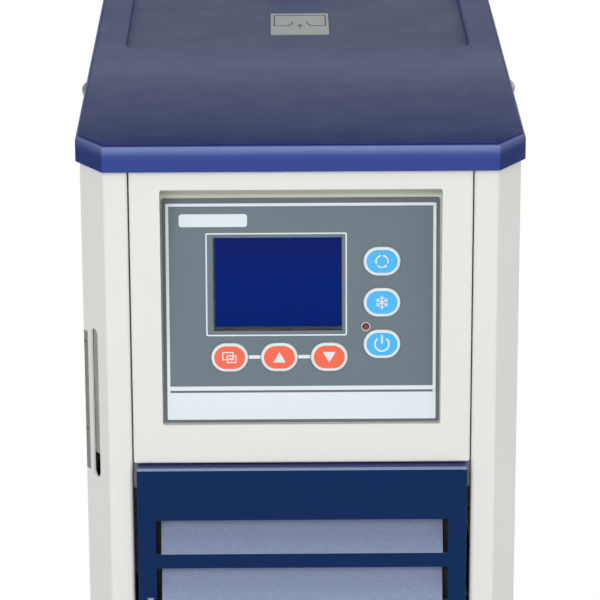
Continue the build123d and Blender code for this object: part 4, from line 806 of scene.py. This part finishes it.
def overlay_borders():
    """Dark border, white frame line, dark rule and white band of the overlay."""
    overlay_print(
        "overlay_border",
        [
            overlay_loop(border_edge, border_edge, border_edge, border_corner),
            overlay_loop(border_side, border_low, border_high, border_inner_corner),
        ],
        film_dark,
    )
    overlay_print(
        "overlay_frame",
        [
            overlay_loop(border_side, rule_top, border_high, border_inner_corner),
            overlay_loop(frame_side, frame_low, frame_high, frame_corner),
        ],
        film_white,
    )
    rule_end = overlay_half - frame_side
    band_end = overlay_half - border_side
    overlay_print("overlay_rule", [box_loop(-rule_end, rule_end, band_top, rule_top)], film_dark)
    overlay_print("overlay_band", [box_loop(-band_end, band_end, border_low, band_top)], film_white)
    for name, x0, x1 in (("left", -band_end, -rule_end), ("right", rule_end, band_end)):
        overlay_print(
            "overlay_rule_end_" + name, [box_loop(x0, x1, band_top, rule_top)], film_white
        )


def overlay_details():
    """Bare plaque, line round the screen, links between the lower keys and the lamp's rim."""
    overlay_print("overlay_plaque", [box_loop(*plaque, plaque_corner)], film_white)
    x0, x1, y0, y1 = screen_line
    width = screen_line_width
    overlay_print(
        "screen_outline",
        [
            box_loop(x0, x1, y0, y1, screen_line_corner),
            box_loop(x0 + width, x1 - width, y0 + width, y1 - width, screen_line_inner_corner),
        ],
        film_white,
    )
    for left, right in zip(warm_keys, warm_keys[1:]):
        start = keys[left][0] + key_reach + link_gap
        end = keys[right][0] - key_reach - link_gap
        middle = keys[left][1]
        overlay_print(
            "key_link_" + left,
            [box_loop(start, end, middle - link_half_height, middle + link_half_height)],
            film_white,
        )
    rim = [circle_loop(*lamp_place, radius) for radius in (lamp_rim_outer, lamp_rim_inner)]
    overlay_print("lamp_rim", rim, film_white, print_height * 2)


def screen_field():
    """Lit field behind the clear window, with the display's dark edge left free round it, wider at
    the left and bottom as painted shade of the recess.
    """
    x0, x1, y0, y1 = screen
    left, right, low, high = screen_field_margins
    flat_piece(
        "screen_field", [box_loop(x0 + left, x1 - right, y0 + low, y1 - high)],
        screen_field_height, lcd_blue, keypad_place(-screen_field_behind), "cabinet",
    )


# Symbols on the keys, each a list of shapes, and each shape a list of loops
def window_mark(cx, cy):
    """Two overlapping windows, the front one with a short line in it."""
    line = 0.62
    shapes = []
    for dx, dy, width, height in ((-1.0, 0.9, 6.4, 4.7), (1.1, -0.9, 5.6, 4.5)):
        x0, x1 = cx + dx - width / 2, cx + dx + width / 2
        y0, y1 = cy + dy - height / 2, cy + dy + height / 2
        outer = box_loop(x0, x1, y0, y1, 0.4)
        inner = box_loop(x0 + line, x1 - line, y0 + line, y1 - line, 0.15)
        shapes.append([outer, inner])
    shapes.append([box_loop(cx - 0.3, cx + 2.6, cy - 0.85, cy - 0.25)])
    return shapes


def triangle_mark(cx, cy, turn):
    """Solid triangle that points up (1) or down (-1)."""
    half, low, tip = 3.6, cy - turn * 3.0, cy + turn * 3.1
    return [[[(cx - half, low), (cx + half, low), (cx, tip)]]]


def circle_mark(cx, cy):
    """Ring of three arrows."""
    shapes = []
    for i in range(3):
        start = 100 + i * 120
        shapes.append([arc_band(cx, cy, 3.4, 0.75, start, start + 84)])
        corners = ((4.35, start + 82), (3.5, start + 106), (2.45, start + 82))
        head = [
            (cx + reach * cos(radians(turn)), cy + reach * sin(radians(turn)))
            for reach, turn in corners
        ]
        shapes.append([head])
    return shapes


def snow_mark(cx, cy):
    """Snowflake of six arms with two branches each."""
    arm, branch_at, branch_length = 3.9, 2.0, 1.5
    shapes = []
    for i in range(6):
        angle = radians(90 + 60 * i)
        c, s = cos(angle), sin(angle)
        shapes.append([bar(cx, cy, cx + arm * c, cy + arm * s, 0.62)])
        bx, by = cx + branch_at * c, cy + branch_at * s
        for turn in (-52, 52):
            branch = angle + radians(turn)
            end = (bx + branch_length * cos(branch), by + branch_length * sin(branch))
            shapes.append([bar(bx, by, *end, 0.5)])
    return shapes


def power_mark(cx, cy):
    """Open ring with an upright stroke."""
    return [
        [arc_band(cx, cy, 4.0, 0.95, 128, 412, 48)],
        [bar(cx, cy + 0.3, cx, cy + 5.2, 1.1)],
    ]


marks = {
    "key_menu": window_mark,
    "key_up": lambda x, y: triangle_mark(x, y, 1),
    "key_down": lambda x, y: triangle_mark(x, y, -1),
    "key_circulate": circle_mark,
    "key_cool": snow_mark,
    "key_power": power_mark,
}


def key_faces():
    """Coloured face and white symbol on each key, which travel with it."""
    for name, (x, y) in keys.items():
        colour, slot = (key_orange, "key_orange") if name in warm_keys else (key_blue, "key_blue")
        body = name + "_button"
        flat_piece(
            name + "_face", [stadium(x, y, key_face_length, key_face_width)], key_face_height,
            colour, keypad_place(key_top), body,
        )
        for i, loops in enumerate(marks[name](x, y)):
            place = keypad_place(key_top + mark_lift + mark_step * i)
            flat_piece(f"{name}_mark_{i}", loops, mark_height, key_white, place, body)


# Lid's plate, level marks and strips
def label_lines():
    """Plain lines on the lid's plate: an open trough with a neck, an arrow head and a stroke."""
    heavy, middle, light, fine = 1.5, 1.0, 0.8, 0.6
    loops = (
        bar(-16.6, 51.6, 17.0, 51.6, heavy), bar(-16.2, 52.2, -16.2, 22.6, light),
        bar(16.6, 52.2, 16.6, 22.6, light), bar(-16.6, 23.2, -6.8, 23.2, heavy),
        bar(6.9, 23.2, 17.0, 23.2, heavy), bar(-7.2, 22.8, -4.6, 29.5, middle),
        bar(7.2, 22.8, 4.8, 29.5, middle), bar(-4.6, 29.0, -4.6, 34.5, light),
        bar(4.8, 29.0, 4.8, 34.5, light), [(-1.5, 21.6), (2.1, 21.6), (0.3, 28.0)],
        bar(0.3, 14.5, 0.3, 19.0, fine),
    )
    for i, loop in enumerate(loops):
        flat_piece(
            f"label_line_{i}", [loop], mark_height, ink, lid_place(0.002 * i), "cabinet",
        )


def level_gauge():
    """Milky strip behind the sight slot and two marks on the scale beside it."""
    flat_piece(
        "sight_strip", [box_loop(*sight_strip, sight_strip_corner)], sight_strip_height, tube_clear,
        chamfer_place(-sight_strip_behind), "cabinet",
    )
    back, front = level_mark_back
    for i, height in enumerate(level_marks):
        flat_piece(
            f"level_mark_{i}", [bar(back, height, front, height, level_mark_width)], mark_height,
            ink, chamfer_place(level_mark_lift), "cabinet",
        )


def louvre_end_shade_strips():
    """Dark foam strips behind the gaps at the ends of the louvre blades, painted shade where the
    inside shows through.
    """
    for name, x0, x1 in (("left", -shade_strip_outer, -shade_strip_inner), ("right", shade_strip_inner, shade_strip_outer)):
        flat_piece(
            "louvre_end_shade_strip_" + name, [box_loop(x0, x1, shade_strip_low, shade_strip_high)], shade_strip_height, foam,
            front_place(shade_strip_y), "cabinet",
        )


# Floor, light and camera
def seen_directly(tree):
    """One for rays that come straight from the camera or through clear plastic."""
    rays = node(tree, "ShaderNodeLightPath")
    return maths(tree, "MAXIMUM", rays.outputs["Is Camera Ray"], rays.outputs["Is Transmission Ray"])


def mix_shaders(tree, factor, first, second, output):
    """Mix of two shaders on an output's surface."""
    mix = node(tree, "ShaderNodeMixShader")
    tree.links.new(factor, mix.inputs["Fac"])
    tree.links.new(first, mix.inputs[1])
    tree.links.new(second, mix.inputs[2])
    tree.links.new(mix.outputs["Shader"], tree.nodes[output].inputs["Surface"])


def floor():
    """Pale floor that keeps the shadow and turns plain white away from the chiller."""
    mesh = bpy.data.meshes.new("floor")
    r = floor_reach
    mesh.from_pydata([(-r, -r, 0), (r, -r, 0), (r, r, 0), (-r, r, 0)], [], [(0, 1, 2, 3)])
    obj = bpy.data.objects.new("floor", mesh)
    obj.location.z = -floor_drop
    bpy.context.scene.collection.objects.link(obj)
    mat, tree, shader = new_material("pale_floor")
    colours = ramp(
        tree, noise(tree, 6.0), [(0.3, (0.80, 0.80, 0.79)), (0.7, (0.83, 0.83, 0.82))]
    )
    tree.links.new(colours, shader.inputs["Base Color"])
    shader.inputs["Roughness"].default_value = 0.75
    shader.inputs["Specular IOR Level"].default_value = 0.2
    white = node(tree, "ShaderNodeEmission")
    white.inputs["Color"].default_value = (1, 1, 1, 1)
    white.inputs["Strength"].default_value = 1.0
    distance = node(tree, "ShaderNodeVectorMath", operation="LENGTH")
    tree.links.new(coords(tree), distance.inputs[0])
    far = node(tree, "ShaderNodeMapRange")
    far.interpolation_type = "SMOOTHSTEP"
    far.inputs["From Min"].default_value = floor_white_from
    far.inputs["From Max"].default_value = floor_white_to
    tree.links.new(distance.outputs["Value"], far.inputs["Value"])
    mask = maths(tree, "MULTIPLY", seen_directly(tree), far.outputs["Result"])
    mix_shaders(
        tree, mask, shader.outputs["BSDF"], white.outputs["Emission"], "Material Output"
    )
    mesh.materials.append(mat)


def world():
    """Soft light from all round, a little weaker from the left, behind a white background."""
    made = bpy.data.worlds.new("studio")
    made.use_nodes = True
    tree = made.node_tree
    base = tree.nodes["Background"]
    base.inputs["Color"].default_value = (0.98, 0.99, 1.0, 1)
    sky = node(tree, "ShaderNodeTexCoord")
    across = node(tree, "ShaderNodeSeparateXYZ")
    tree.links.new(sky.outputs["Generated"], across.inputs["Vector"])
    strength = remap(tree, across.outputs["X"], -1.0, 1.0, world_left, world_right)
    tree.links.new(strength, base.inputs["Strength"])
    white = node(tree, "ShaderNodeBackground")
    white.inputs["Color"].default_value = (1, 1, 1, 1)
    white.inputs["Strength"].default_value = 1.0
    mix_shaders(
        tree, seen_directly(tree), base.outputs["Background"], white.outputs["Background"],
        "World Output",
    )
    bpy.context.scene.world = made


def softbox(name, place, target, size, power):
    """Rectangular white lamp aimed at a point."""
    data = bpy.data.lights.new(name, "AREA")
    data.shape = "RECTANGLE"
    data.size, data.size_y = size
    data.energy = power
    obj = bpy.data.objects.new(name, data)
    obj.location = place
    aim = Vector(target) - Vector(place)
    obj.rotation_euler = aim.to_track_quat("-Z", "Y").to_euler()
    bpy.context.scene.collection.objects.link(obj)


def camera():
    """Camera fitted to the photograph, without shift."""
    pitch, yaw, roll = radians(camera_pitch), radians(camera_yaw), radians(camera_roll)
    ahead = Vector((sin(yaw) * cos(pitch), cos(yaw) * cos(pitch), -sin(pitch)))
    level = Vector((cos(yaw), -sin(yaw), 0))
    upright = level.cross(ahead)
    right = level * cos(roll) - upright * sin(roll)
    up = upright * cos(roll) + level * sin(roll)
    data = bpy.data.cameras.new("photo_camera")
    data.sensor_width = camera_sensor
    data.lens = camera_lens
    data.clip_end = camera_clip_end
    obj = bpy.data.objects.new("photo_camera", data)
    spot = Vector(camera_target) - ahead * camera_distance
    obj.matrix_world = plane_matrix(right, up, -ahead, spot)
    bpy.context.scene.collection.objects.link(obj)
    bpy.context.scene.camera = obj


paint_nodes()
overlay_borders()
overlay_details()
screen_field()
key_faces()
label_lines()
level_gauge()
louvre_end_shade_strips()
floor()
world()
for light in lights:
    softbox(*light)
camera()
bpy.context.scene.view_settings.view_transform = "Standard"
